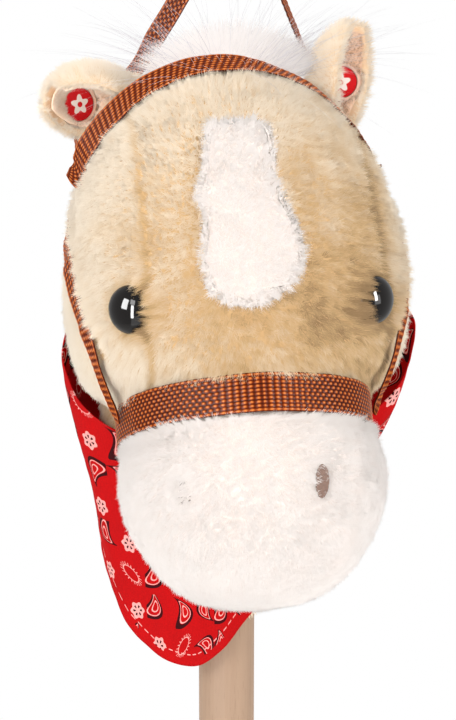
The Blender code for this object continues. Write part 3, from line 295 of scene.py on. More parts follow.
# plush: painted shade, root, deep and pale. Each hair is painted darker towards its root, as painted shade
# between the hairs, and the pile is painted darker where it parts, at its seams and round the eyes: painted
# shade
plushKinds = {
    "tanPlush": ("#9a7a50", "#d6b07c", "#dcb883", "#fff0da"),
    "creamPlush": ("#bf9c74", "#dcbb92", "#f0d8b8", "#fdf0de"),
    "whitePlush": ("#dfd1c7", "#f1e5dd", "#f8ede6", "#fdf6f1"),
    "earNap": ("#a07a60", "#efc9a9", "#f3d0b2", "#ffecd8"),
    "whiteHair": ("#ddcfcb", "#f6ebe5", "#fbf2ee", "#fef8f5"),
    "greyHair": ("#b9aeb5", "#cfc6cb", "#d3ccd3", "#ece8ec"),
}


def plushMaterial(name, paintedShade, root, deep, pale):
    mat, tree = newMaterial(name, Roughness=0.85, Sheen_Weight=0.25, Sheen_Roughness=0.5,
                            Specular_IOR_Level=0.15)
    tone, along = attribute(tree, "tone"), attribute(tree, "along")
    # tone runs from the painted shade colour through deep to pale; the mix with the root colour is painted
    # shade between hairs
    tip = ramp(tree, tone, (0, paintedShade), (0.3, deep), (1, pale))
    paint(tree, mixed(tree, along, mixed(tree, 0.5, tip, root), tip))
    return mat


plush = {name: plushMaterial(name, *colours) for name, colours in plushKinds.items()}
print("materials of the pile made")


# the backing's low tone and half root colour are painted shade deep in the pile
def skin(name, points, tris, normals, inset, mat, tone):  # the backing under a pile
    ob = finish(name, points - normals * inset, tris, mat)
    setFloat(ob.data, "tone", np.full(len(points), tone))
    setFloat(ob.data, "along", np.zeros(len(points)))
    return ob


def scatter(points, tris, countFor, rng):  # random places, evenly over an area
    area = lengths(crosses(points, tris)[0]) / 2
    chosen = rng.choice(len(tris), countFor(area.sum()), p=area / area.sum())
    u, v = np.sqrt(rng.random(len(chosen))), rng.random(len(chosen))
    share = np.stack([1 - u, u * (1 - v), u * v], axis=1)[:, :, None]
    return (points[tris[chosen]] * share).sum(axis=1), chosen, share


def roots(points, tris, normals, density, rng):  # so many to a square mm
    root, chosen, share = scatter(points, tris, lambda area: int(area * 1e6 * density), rng)
    return root, unit((normals[tris[chosen]] * share).sum(axis=1))


def spikes(name, root, way, length, thick, away, tone, mat, soft):
    # each hair is a three-sided spike
    n = len(root)
    side = unit(np.cross(way, away + 0.013))
    other = np.cross(way, side)
    points, normals = np.empty((n, 4, 3)), np.empty((n, 4, 3))
    for k in range(3):
        a = 2 * pi * k / 3 + 0.4
        spoke = side * math.cos(a) + other * math.sin(a)
        points[:, k] = root + spoke * thick[:, None]
        normals[:, k] = away * soft + spoke * (1 - soft)
    points[:, 3] = root + way * length[:, None]
    normals[:, 3] = away * soft + way * (1 - soft)
    faces = np.arange(n)[:, None, None] * 4 + np.array([[0, 1, 3], [1, 2, 3], [2, 0, 3]])
    ob = finish(name, points.reshape(-1, 3), faces.reshape(-1, 3), mat)
    softLit(ob, np.repeat(tone, 4), np.tile([0.15, 0.15, 0.15, 1.0], n), normals)


def softLit(ob, tone, along, normals):  # light sinks into a real pile
    setFloat(ob.data, "tone", tone)
    setFloat(ob.data, "along", along)
    ob.data.normals_split_custom_set_from_vertices(unit(normals.reshape(-1, 3)))
    ob.visible_shadow = False


def clumps(points, size, seed):  # tufts lean down the slope of soft noise, and part at its height
    step = size * 0.05
    height = waves(points, size, seed)
    slope = rowsOf(*(waves(points + step * axis, size, seed) - height for axis in np.eye(3)))
    return slope / step * size / 6, height


def densePoints(name, step):
    return scatter(*cadArrays(name), lambda area: int(area / step ** 2), np.random.default_rng(5))[0]


# straps press the pile down, and beside them, the eyes and the nostrils it stands up and leans over
tapes = {"noseband": densePoints("noseband", 2.2 * mm)}
tapes.update({name: densePoints(name, 1.2 * mm) for name in ("browband", *pair("rein_cheek"))})
nostrils = {name: densePoints(name, 1 * mm) for name in pair("nostril")}
eyeSeats = [cadArrays(name)[0].mean(axis=0) for name in pair("eye")]
scarfPoints = densePoints("neck_scarf", 3 * mm)


def reachTo(root, targets, far):  # each hair's gap to a thing, up to far, and its nearest point
    near = ((root > targets.min(axis=0) - far) & (root < targets.max(axis=0) + far)).all(axis=1)
    target = root.copy()
    gap = np.full(len(root), far)
    if near.any():
        target[near] = targets[closest(root[near], targets)]
        gap[near] = np.minimum(lengths(root[near] - target[near]), far)
    return gap, target


# in mm: the noseband's middle and half width down the face, the reach of an eye's rim, and the heights at
# which the reins lift off the head at the loop and are folded on edge on the cheek
band = {"at": 67.5, "chinDrop": 13, "half": 8.4}
eyeReach = 10.4 * mm
rein = {"lift": 850, "free": 868, "fold": 845, "low": 836}


def guard(name, root):  # how far each hair stands up, which way it then leans, how it is pressed
    _, s, n = inHead(root)
    side = root[:, 0] - headCentre[0]
    gap, target = reachTo(root, tapes["noseband"], 7 * mm)
    middle = (band["at"] + band["chinDrop"] * np.maximum(-np.cos(np.arctan2(side, n)), 0) ** 2) * mm
    under = np.abs(s - middle) < band["half"] * mm
    press = np.where(under & (gap < 7 * mm), 0.12, 1.0)
    found = [(0.4 * fade(gap, 6, 4) * ~under, unit(target - root))]
    if name.startswith("head"):
        gap, _ = reachTo(root, scarfPoints, 6 * mm)
        press *= np.clip(gap / (6 * mm), 0.3, 1)
        for key in ("browband", *pair("rein_cheek")):
            isRein = key != "browband"
            gap, target = reachTo(root, tapes[key], 9 * mm)
            loose = grow(root[:, 2], rein["lift"], 10) * isRein
            low = fade(root[:, 2], rein["low"], 10) * isRein
            press *= np.clip((gap - (1.1 + 1.9 * loose) * mm) / (1.3 * mm), 0.12, 1)
            press *= 1 - 0.3 * low * fade(gap, 5.5, 4)
            inner = np.clip(dot(root - target, outFace) / (2 * mm) + 0.7, 0.1, 1)
            share = fade(gap, 9, 6.8) * (gap > 1.8 * mm) * inner * (0.5 - 0.25 * low if isRein else 0.3)
            found.append((share, unit(target - root) * (0.15 if isRein else 1)))
        for seat in eyeSeats:
            away = lengths(root - seat)
            inner = np.clip(dot(unit(root - seat), [-np.sign(seat[0]), 0, 0]) * 1.8 + 0.2, 0.25, 1)
            found.append((fade(away, 16.5, 4) * inner * (away > eyeReach), unit(seat - root)))
            press *= np.where(away < eyeReach, 0.2, 1)
    if name.startswith("muzzle"):
        for key, amount, kept in (("nostril_right", 1.0, 1), ("nostril_left", 0.3, 0.2)):
            gap, target = reachTo(root, nostrils[key], 6 * mm)
            found.append((amount * fade(gap, 6, 5), unit(target - root)))
            press *= np.where(gap < 1.1 * mm, kept, 1)
    share = np.max([s for s, _ in found], axis=0)
    return share, sum(s[:, None] * a for s, a in found), press


# seams down the face: side in mm, drift along it, and how plainly it shows
sewn = {"head": ((-42.5, 0, 1), (55.5, 0.06, 1)), "muzzle": ((-19.5, 0.05, 0.3), (48.5, -0.1, 0.4))}


def seams(name, root):
    near, spread = np.zeros(len(root)), np.zeros_like(root)
    side, s, n = inHead(root)
    for at, slant, plain in next((lines for key, lines in sewn.items() if name.startswith(key)), ()):
        off = side - at * mm - slant * s
        front = grow(n, 0, 10) * plain
        near = np.maximum(near, np.exp(-(off / (1.5 * mm)) ** 2) * front)
        spread[:, 0] += 0.3 * np.sign(off) * np.exp(-(off / (4 * mm)) ** 2) * front ** 2
    return near, spread


def pile(name, spec, points, tris, normals, comb, mat, keepOff=None, shade=None):
    # hairs leave the surface at a slant: the normal, the comb and soft noise added together
    seed = spec["seed"]
    rng = np.random.default_rng(seed)
    root, away = roots(points, tris, normals, spec["density"], rng)
    if keepOff is not None:
        kept = keepOff(root, away)
        root, away = root[kept], away[kept]
    share, aim, press = np.zeros(len(root)), np.zeros_like(root), np.ones(len(root))
    if name.startswith(("head", "muzzle")):
        # more hairs beside the things that lie in the pile, kept where they stand up
        more, moreAway = roots(points, tris, normals, spec["density"] * 3, rng)
        close = np.min([lengths(more - seat) for seat in eyeSeats], axis=0) < 15 * mm
        beside = [(tapes[key][::3], 6) for key in pair("rein_cheek")]
        for targets, far in (*beside, (nostrils["nostril_right"], 7)):
            close |= reachTo(more, targets, far * mm)[0] < far * mm
        close |= rng.random(len(more)) < 0.2
        root, away = np.concatenate([root, more[close]]), np.concatenate([away, moreAway[close]])
        share, aim, press = guard(name, root)
        kept = (share > 0.25) | (np.arange(len(root)) < len(root) - close.sum())
        root, away, share, aim, press = (values[kept] for values in (root, away, share, aim, press))
    tuft, parting = clumps(root, 4.2 * mm, seed + 2)
    seam, spread = seams(name, root)
    facing = np.clip(dot(away, outFace) * 1.3, 0, 1)
    flat = spec["lay"] + 1.0 * (1 - facing) * (1 - share)
    way = away * spec["rise"] + comb(root, away) * flat[:, None] + spread
    way += drift(root, 14 * mm, seed + 1) * spec["wander"]
    way += tuft * (spec["tuft"] * (0.25 + 0.75 * facing))[:, None]
    way = unit(way + rng.normal(size=root.shape) * spec["loose"])
    way = unit(way + away * np.maximum(0.12 - dot(way, away), 0)[:, None])
    way = unit(way * (1 - 0.6 * share)[:, None] + away * (0.7 * share)[:, None] + aim * 0.45)
    length = spec["length"] * mm * rng.uniform(0.82, 1.08, len(root))
    length = length * (1 + 0.16 * parting) * (1 + 0.75 * share)
    length *= press * (1 - 0.22 * seam) * (0.84 + 0.16 * facing)
    tone = spec["tone"] + 0.18 * waves(root, 24 * mm, seed + 4) + 0.13 * waves(root, 9 * mm, seed + 5)
    # painted shade: darker where the tufts part and along the seams, paler on the tufts
    tone += spec["parting"] * parting - 0.65 * seam
    if shade is not None:
        tone += shade(root, away)
    # painted shade round the eyes, where they sit in the head
    for seat in eyeSeats:
        tone -= 0.62 * fade(lengths(root - seat), 17.5, 6.5) ** 1.5
    tone = np.clip(0.3 + 0.7 * (tone + rng.normal(size=len(root)) * spec["grain"]), 0, 1)
    root = root - away * (spec["inset"] * mm * (1 - 0.6 * share))[:, None]
    thick = spec["thick"] * mm * rng.uniform(0.75, 1.25, len(root))
    order = np.argsort(root[:, 0] + root[:, 2] * 0.05)
    pieces = math.ceil(len(root) / hairsInPiece)
    for k, part in enumerate(np.array_split(order, pieces)):
        spikes(name if pieces == 1 else f"{name}_{k + 1}", root[part], way[part], length[part], thick[part],
               away[part], tone[part], mat, spec["soft"])
    return len(root)


def downAndOut(root, away):  # down the face, and away from its middle line
    side, _, _ = inHead(root)
    flow = downFace + np.outer(side / (60 * mm), [1, 0, 0]) * 0.45
    return unit(flow - away * dot(flow, away)[:, None])


hairsInPiece = 64000
headPile = {"seed": 11, "density": 3.9, "length": 5.6, "thick": 0.21, "rise": 1.0, "lay": 0.22, "wander": 0.2,
            "tuft": 0.5, "loose": 0.2, "inset": 3, "tone": 0.5, "soft": 0.82, "parting": 0.2, "grain": 0.08}
blazePile = {**headPile, "seed": 23, "tone": 0.9}
muzzlePile = {**headPile, "seed": 31, "length": 5, "lay": 0.15, "tone": 0.75, "density": 4.2}
neckPile = {**headPile, "seed": 41, "length": 4.5, "density": 0.7, "thick": 0.4}


# painted light and painted shade for a key lamp at the upper left: paler on the crown, low down and along the
# horse's right side and on both outer rims, darker on its left side; the brow between the eyes is darker too
def headToneAndPaintedLight(root, away):  # palest on the crown and the right cheek
    side, s, _ = inHead(root)
    brow = np.exp(-((s - 34 * mm) / (20 * mm)) ** 2 - ((side - 6 * mm) / (38 * mm)) ** 2)
    low = fade(side, -25, 20) * grow(s, 5, 30)
    rim = grow(np.abs(side), 58, 12)
    pale = 0.6 * fade(s, -8, 45) + 0.35 * fade(side, -30, 30) + 0.2 * low + 0.4 * rim
    return pale - 0.6 * brow - 0.4 * grow(side, 8, 40) * (1 - rim)


def makeHead():
    for name, spec, kind, centre, tone in (
        ("head_cover", headPile, "tanPlush", headCentre, 0.35),
        ("blaze_panel", blazePile, "whitePlush", headCentre, 0.1),
        ("muzzle_cover", muzzlePile, "whitePlush", headCentre + downFace * 0.09, 0.1),
        ("neck_cover", neckPile, "tanPlush", np.array([0, 0.015, headCentre[2] - 0.08]), 0.35),
    ):
        points, tris = cadArrays(name)
        outer, normals = outside(points, tris, centre)
        backing = skin(f"{name}_backing", points, tris, normals, 2.6 * mm, plush[kind], tone)
        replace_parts(backing, name)

        def clearOfScarf(root, away):
            return nearest(root, scarfPoints) > 4 * mm

        hairs = pile(f"{name}_pile", spec, points, tris[outer], normals, downAndOut, plush[kind],
                     keepOff=clearOfScarf if name == "neck_cover" else None,
                     shade=headToneAndPaintedLight if name == "head_cover" else None)
        print(name, "pile", hairs, "hairs")


makeHead()
print("head made")


def axisOf(name, inside):  # a round piece's points, middle, outward axis and heights along it
    points, _ = cadArrays(name)
    middle = points.mean(axis=0)
    # the points spread along the axis unlike the other two ways
    spread, ways = np.linalg.eigh(np.cov((points - middle).T))
    axis = ways[:, 2 if spread[2] - spread[1] > spread[1] - spread[0] else 0]
    if dot(axis, middle - inside) < 0:
        axis = -axis
    return points, middle, axis, (points - middle) @ axis


def turnedAbout(profile, steps, origin, axis):  # a profile of (radius, height)
    profile = np.array(profile)
    across = unit(np.cross(axis, [0.3, 0.1, 1.0]))
    other = np.cross(axis, across)
    a = np.linspace(0, 2 * pi, steps, endpoint=False)
    ring = across * np.cos(a)[:, None] + other * np.sin(a)[:, None]
    points = origin + profile[:, 0, None, None] * ring[None] + profile[:, 1, None, None] * axis
    return points.reshape(-1, 3), surfaceGrid(len(profile), steps, ring=True)


# eyes: black acrylic domes, polished, on a rim
eye = {"radius": 10, "height": 8, "rim": 1.6}


def makeEyes(radius, height, rim):
    mat, _ = newMaterial("polishedBlackAcrylic", Roughness=0.06, Base_Color="#0b0706",
                         Specular_IOR_Level=0.22)
    r, h, rim = radius * mm, height * mm, rim * mm
    a = np.linspace(pi / 2, 0.001, 28)
    profile = [(1.5 * mm, -4 * mm), (1.5 * mm, 0), (r - 0.6 * mm, 0), (r, 0.5 * mm)]
    profile += list(zip(r * np.sin(a), rim + (h - rim) * np.cos(a)))
    for name in pair("eye"):
        points, middle, axis, high = axisOf(name, headCentre)
        out = lengths((points - middle) - high[:, None] * axis)
        centre = middle + axis * high[out > 0.94 * out.max()].min()
        shape, faces = turnedAbout(profile, 96, centre, axis)
        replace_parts(finish(f"{name}_dome", shape, faces, mat), name)


makeEyes(**eye)
print("eyes made")

# webbing: brown polypropylene tape, woven of thick cords that show as staggered beads
webbing = {"thick": 1.3, "step": 0.33, "cord": 1.6, "narrowCord": 2.1, "bead": 2.8, "relief": 0.5,
           "groove": "#2e0e05", "thread": "#792b08", "paintedHighlight": "#dc7f3c"}


def webbingMaterial(spec):
    mat, tree = newMaterial("wovenPolypropyleneTape", Roughness=0.3, Specular_IOR_Level=0.05)
    # the colour follows the weave's height: painted shade in the grooves and a painted highlight on the bead
    # tops
    stops = (0.1, spec["groove"]), (0.55, spec["thread"]), (1, spec["paintedHighlight"])
    colour = ramp(tree, attribute(tree, "relief"), *stops)
    paint(tree, mixed(tree, 0.15, colour, noise(tree, 900.0, 2.0), blend_type="OVERLAY"))
    return mat


tape = webbingMaterial(webbing)


def stations(name, start):  # a CAD strap's sections, in order
    points, tris = cadArrays(name)
    edges = np.concatenate([tris[:, [0, 1]], tris[:, [1, 2]], tris[:, [2, 0]]])
    edges = np.concatenate([edges, edges[:, ::-1]])
    for _ in range(2):  # the four corners of its first end
        first = np.argsort(lengths(points - start))[:4]
        start = points[first].mean(axis=0)
    level = np.full(len(points), -1)
    level[first] = 0
    for k in range(400):
        ends = edges[level[edges[:, 0]] == k, 1]
        ends = ends[level[ends] < 0]
        if len(ends) == 0:
            break
        level[ends] = k + 1
    count = level.max() + 1
    total = np.bincount(level, minlength=count)[:, None]
    middle = rowsOf(*(np.bincount(level, points[:, k], count) for k in range(3))) / total
    spread = points - middle[level]
    cov = np.zeros((count, 3, 3))
    np.add.at(cov, level, spread[:, :, None] * spread[:, None, :])
    across = np.linalg.eigh(cov)[1][:, :, 2]
    flips = np.concatenate([[1], np.cumprod(np.where(dot(across[1:], across[:-1]) < 0, -1, 1))])
    across = across * flips[:, None]
    half = np.zeros(count)
    np.maximum.at(half, level, np.abs(dot(spread, across[level])))
    return middle, across, half


def eased(rows, count, ring=False):  # resampled along a Catmull-Rom curve
    n = len(rows)
    spans = n if ring else n - 1
    t = np.linspace(0, spans, count, endpoint=not ring)
    i = np.minimum(t.astype(int), spans - 1)
    f = (t - i)[:, None]
    padded = rows[np.arange(-1, n + 2) % n]
    if not ring:
        padded = np.concatenate([[2 * rows[0] - rows[1]], rows, [2 * rows[-1] - rows[-2]]])
    a, b, c, d = (padded[i + k] for k in range(4))
    line = 2 * b + (c - a) * f
    return 0.5 * (line + (2 * a - 5 * b + 4 * c - d) * f ** 2 + (3 * b - 3 * c + d - a) * f ** 3)


def weave(u, v, half, stagger, cord):
    # height of the tape's face, 0 to 1: cords along it, each a row of beads that the next row staggers
    rows = np.round(2 * half / (webbing[cord] * mm))
    q = np.clip((v + 1) / 2 * rows, 0, rows - 1e-6)
    row = np.floor(q)
    bead = np.cos(pi * (u / (webbing["bead"] * mm) + row % 2 / 2 * stagger)) ** 2
    edge = (row == 0) | (row == rows - 1)
    bead = np.where(edge, 0.45 + 0.55 * bead, bead ** 0.8)
    bead = bead + 0.2 * (1 - bead) * (1 - stagger)
    return np.sin(pi * (q - row)) ** 0.7 * (0.12 + 0.88 * bead)


def strap(name, middle, across, half, normals, body="toy", ring=False, both=False):
    # the section of a tape, woven on its face and flat behind, carried along its path
    full = half.max()
    run = np.concatenate([[0], np.cumsum(lengths(np.diff(middle, axis=0)))])
    faceCount = int(2 * full / (webbing["step"] * mm))
    v = np.linspace(-1, 1, faceCount)
    back = np.linspace(1, -1, faceCount if both else 5)
    u = run[:, None]
    # worn straight over the nose, where the rows' beads stand in line and read as ribs
    stagger = grow(np.minimum(u, run[-1] - u), 14, 10) if ring else float(both)
    top = weave(u, v, full, stagger, "cord" if ring or both else "narrowCord")
    below = weave(u, back, full, 1, "cord") if both else np.ones((len(run), len(back)))
    lift = webbing["relief"] * mm

    def face(at, height, turned):  # its edges are rounded over
        rise = (webbing["thick"] * mm / 2 - lift + lift * height) * (1 - np.abs(at) ** 14 * 0.5)
        flat = middle[:, None] + across[:, None] * (half[:, None] * at)[:, :, None]
        return flat + normals[:, None] * (turned * rise)[:, :, None]

    points = np.concatenate([face(v, top, 1), face(back, below, -1)], axis=1)
    relief = np.concatenate([top, below if both else 0.4 * below], axis=1)
    if not ring:
        ends = [np.repeat(middle[k][None, None], points.shape[1], axis=1) for k in (0, -1)]
        points = np.concatenate([ends[0], points, ends[1]])
        relief = np.concatenate([relief[:1], relief, relief[-1:]])
    faces = surfaceGrid(*points.shape[:2], ring=True, loop=ring)
    ob = finish(f"{name}_tape", points.reshape(-1, 3), faces[:, ::-1], tape, body)
    setFloat(ob.data, "relief", relief.ravel())
    with meshEdited(ob.data) as bm:
        bmesh.ops.remove_doubles(bm, verts=bm.verts, dist=1e-6)
        bmesh.ops.recalc_face_normals(bm, faces=bm.faces)
    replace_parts(ob, name)


def makeStraps():
    for name, start, body, step in (
        ("rein_loop", (-0.060, 0.0285, 0.882), "reins", 0.7),
        ("rein_cheek_right", (-0.050, -0.054, 0.794), "toy", 0.42),
        ("rein_cheek_left", (0.050, -0.054, 0.794), "toy", 0.42),
        ("browband", (-0.075, -0.01, 0.885), "toy", 0.42),
    ):
        middle, across, half = stations(name, start)
        length = lengths(np.diff(middle, axis=0)).sum()
        count = int(length / (step * mm))
        rows = eased(np.concatenate([middle, across, half[:, None]], axis=1), count)
        middle, across, half = rows[:, :3], unit(rows[:, 3:6]), np.clip(rows[:, 6], 0.5 * mm, None)
        normals = unit(np.cross(unit(np.gradient(middle, axis=0)), across))
        if dot(normals, middle - headCentre).mean() < 0:
            normals = -normals
        if name.startswith("rein_cheek"):  # pressed into the pile, free at the loop
            free = grow(middle[:, 2], rein["free"], 20)[:, None]
            low = fade(middle[:, 2], rein["fold"], 26)
            middle = middle - normals * ((1 - free) * (1.7 - 1.0 * low[:, None])) * mm
            half = half * (1 - 0.62 * low)
        if name == "browband":  # its ends are tucked into the pile
            ends = np.minimum(np.arange(count), count - 1 - np.arange(count)) * length / count
            middle = middle - normals * fade(ends, 15, 15)[:, None] ** 1.3 * 4.2 * mm
        strap(name, middle, across, half, normals, body, both=name == "rein_loop")
        print(name, "tape", round(length * 1000), "mm")


def makeNoseband(parts=48, steps=800):  # a ring, read all round from its solid
    side, s, n = inHead(cadArrays("noseband")[0])
    turn = np.round(np.arctan2(side, n) / (2 * pi / parts)).astype(int) % parts
    outer, low, high = np.zeros(parts), np.full(parts, 1e9), np.full(parts, -1e9)
    np.maximum.at(outer, turn, np.hypot(side, n))
    np.minimum.at(low, turn, s)
    np.maximum.at(high, turn, s)
    rows = eased(np.stack([outer - 0.7 * mm, (low + high) / 2, (high - low) / 2], axis=1), steps, ring=True)
    a = np.linspace(0, 2 * pi, steps, endpoint=False)
    spoke = np.outer(np.sin(a), [1, 0, 0]) + np.outer(np.cos(a), outFace)
    down = downFace - head["lean"] * np.array([1, 0, 0])
    middle = headCentre + spoke * rows[:, :1] + np.outer(rows[:, 1], down)
    half = np.full(steps, np.median(rows[:, 2]))
    strap("noseband", middle, np.repeat(downFace[None], steps, axis=0), half, spoke, ring=True)


makeStraps()
makeNoseband()
print("bridle made")


# ears: the same plush rolled into a bowl, lined with a finely ribbed nap
earPile = {**headPile, "length": 4.8, "density": 3.6, "lay": 0.3, "tone": 0.75, "inset": 2}
napPile = {**headPile, "length": 2.9, "density": 8, "thick": 0.19, "lay": 0.35, "inset": 0.3, "tone": 0.5,
           "tuft": 0.4, "soft": 0.5, "grain": 0.22}
earLining = {"width": 0.06, "rib": 1.7}


def makeEar(name, later, clothToneWithPaintedLight, casePaintedLightAndShade, liningPaintedLightAndShade):
    ear, lining, case = (shell(f"ear{kind}_{name}") for kind in ("", "_lining", "_switch_case"))
    cloth, cup, felt = (densePoints(f"ear_{kind}_{name}", step * mm)
                        for kind, step in (("lining", 1.2), ("switch_case", 1.5), ("patch", 1.2)))
    middle = lining[0].mean(axis=0)
    tipWay = unit(ear[0].mean(axis=0) - headCentre)
    rib = unit(np.cross(tipWay, outFace))
    patchMiddle = cadArrays(f"ear_patch_{name}")[0].mean(axis=0)
    patchWay = unit(patchMiddle - cup.mean(axis=0))

    def besidePatch(root):  # how far from the line of the press
        return lengths(np.cross(root - patchMiddle, patchWay))

    def offBowl(root, away):  # no plush in the bowl, in the switch case or in the head
        clear = nearest(root, cloth) > 1.8 * mm
        facing = dot(away, unit(middle - root)) > 0.2
        deep = lengths(root - headCentre) < 0.062
        behind = dot(away, patchWay) < 0
        pressed = (besidePatch(root) < 8 * mm) & (np.abs(dot(root - patchMiddle, patchWay)) < 9 * mm)
        return (clear | ~facing | behind) & (behind | (nearest(root, cup) > 2 * mm)) & ~deep & ~pressed

    def offPatch(root, away):
        return nearest(root, felt) > 1 * mm

    def offPress(root, away):
        return offPatch(root, away) & ((besidePatch(root) > 8.2 * mm) | (dot(away, patchWay) < 0))

    def alongEar(root, away):
        flow = np.repeat(tipWay[None], len(root), axis=0)
        return unit(flow - away * dot(flow, away)[:, None])

    # the ribs are painted as light and dark stripes: painted light and shade on the ribs
    def ribs(root, away):
        return liningPaintedLightAndShade + 0.3 * np.sin((root @ rib) * 2 * pi / (earLining["rib"] * mm))

    backing = skin(f"ear_{name}_backing", *ear, 1.4 * mm, plush["creamPlush"], 0.35)
    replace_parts(backing, f"ear_{name}")
    backing.visible_shadow = False  # light comes through the thin ear
    pile(f"ear_{name}_pile", {**earPile, "seed": 51 + later}, *ear, alongEar, plush["creamPlush"],
         keepOff=offBowl)
    sheet = skin(f"ear_lining_{name}_cloth", *lining, 0.2 * mm, plush["earNap"], clothToneWithPaintedLight)
    sheet.visible_shadow = False
    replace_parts(sheet, f"ear_lining_{name}")
    points, tris, normals = lining
    cross, centres = crosses(points, tris)
    # the lining is stretched over the switch case as well, all round the patch
    pile(f"ear_case_{name}_nap", {**napPile, "seed": 71 + later}, *case, alongEar, plush["earNap"],
         keepOff=offPress, shade=lambda root, away: casePaintedLightAndShade)
    inner = dot(unit(cross), unit(centres - middle)) < 0
    pile(f"ear_lining_{name}_nap", {**napPile, "seed": 61 + later}, points, tris[inner], normals, alongEar,
         plush["earNap"], keepOff=offPatch, shade=ribs)


# the right ear's lining is painted lighter and the left's darker: painted light and painted shade on one
# cloth
makeEar("right", 0, 0.9, 0.2, 0.3)
makeEar("left", 6, 0.2, -0.2, -0.7)
print("ears made")

# press patches: a domed disc of red felt with a plain five-lobed flower
patch = {"radius": 7, "felt": "#cf1219", "mark": "#f6ebe6"}


def makePatches(spec):
    mat, tree = newMaterial("redFeltDisc", Roughness=0.8, Specular_IOR_Level=0.08)
    calc = partial(calculate, tree)
    x, y = attribute(tree, "discX"), attribute(tree, "discY")
    spoke = node(tree, "CombineXYZ", {"X": x, "Y": y})
    radius = node(tree, "VectorMath", {0: spoke}, operation="LENGTH").outputs["Value"]
    five = calc("COSINE", calc("MULTIPLY", calc("ARCTAN2", y, x), 5.0))
    lobes = calc("LESS_THAN", radius, calc("MULTIPLY_ADD", five, 0.13, 0.5))
    mark = calc("MULTIPLY", lobes, calc("GREATER_THAN", radius, 0.17))
    fibre = noise(tree, 1400.0, 3.0)
    colour = mixed(tree, mark, spec["felt"], spec["mark"])
    paint(tree, mixed(tree, 0.3, colour, fibre, blend_type="OVERLAY"), fibre, 0.5, 0.0003)
    for name in ("right", "left"):
        case, _ = cadArrays(f"ear_switch_case_{name}")
        _, middle, axis, high = axisOf(f"ear_patch_{name}", case.mean(axis=0))
        origin = middle + axis * high.min()
        r = spec["radius"] * mm
        share = np.linspace(0.004, 1, 24)
        profile = [(0.3 * mm, 0), (r, 0)] + [(r * q, (0.75 + 0.55 * (1 - q * q)) * mm) for q in share[::-1]]
        shape, faces = turnedAbout(profile, 72, origin, axis)
        disc = finish(f"ear_patch_{name}_felt", shape, faces, mat, f"ear_button_{name}")
        up = unit(np.array([0, 0, 1]) - axis * axis[2])
        setFloat(disc.data, "discX", (shape - origin) @ up / r)
        setFloat(disc.data, "discY", (shape - origin) @ np.cross(axis, up) / r)
        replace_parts(disc, f"ear_patch_{name}")


makePatches(patch)
print("patches made")


def tufts(name, spec, root, way, length, sag, away, mat, rng):
    # long hairs: each a three-sided taper along root + way t + sag t squared, with a wave across it
    n, steps = len(root), spec["steps"]
    thick, wave = (rng.uniform(*spec[key], n)[:, None, None] * mm for key in ("thick", "wave"))
    tone, length = rng.uniform(*spec["tone"], n), length[:, None, None]
    t = np.linspace(0, 1, steps)[None, :, None]
    side = unit(np.cross(way, [0.21, 0.35, 0.9]))[:, None]
    spine = root[:, None] + way[:, None] * (length * t) + sag[:, None] * (length * t ** 2)
    spine = spine + side * (wave * np.sin(4.5 * t + 6 * wave / mm) * t)
    run = unit(np.gradient(spine, axis=1))
    first = unit(np.cross(run, side + 0.01))
    other = np.cross(run, first)
    radius = thick * (1 - 0.92 * t ** 1.5)
    corners = [2 * pi * k / 3 for k in range(3)]
    points = np.stack([spine + radius * (first * math.cos(a) + other * math.sin(a)) for a in corners], axis=2)
    faces = np.arange(n)[:, None, None] * steps * 3 + surfaceGrid(steps, 3, ring=True)
    ob = finish(name, points.reshape(-1, 3), faces.reshape(-1, 4), mat)
    spoke = (points - spine[:, :, None]) / radius[:, :, None]
    along = np.tile(np.repeat(np.linspace(0.1, 1, steps), 3), n)
    softLit(ob, np.repeat(tone, steps * 3), along, away[:, None, None] * 0.8 + spoke * 0.2)
    return ob


# hair: a soft white brush on the crown, long loose wisps over it, and the mane down the nape
hair = {
    "brush": {"count": 5400, "thick": (0.16, 0.3), "wave": (0.2, 1.2), "tone": (0.5, 1), "steps": 6},
    "wisps": {"count": 360, "thick": (0.05, 0.085), "wave": (0.5, 4), "tone": (0, 1), "steps": 10},
    "mane": {"count": 4200, "thick": (0.16, 0.3), "wave": (0.2, 1.5), "tone": (0.4, 1), "steps": 5},
}


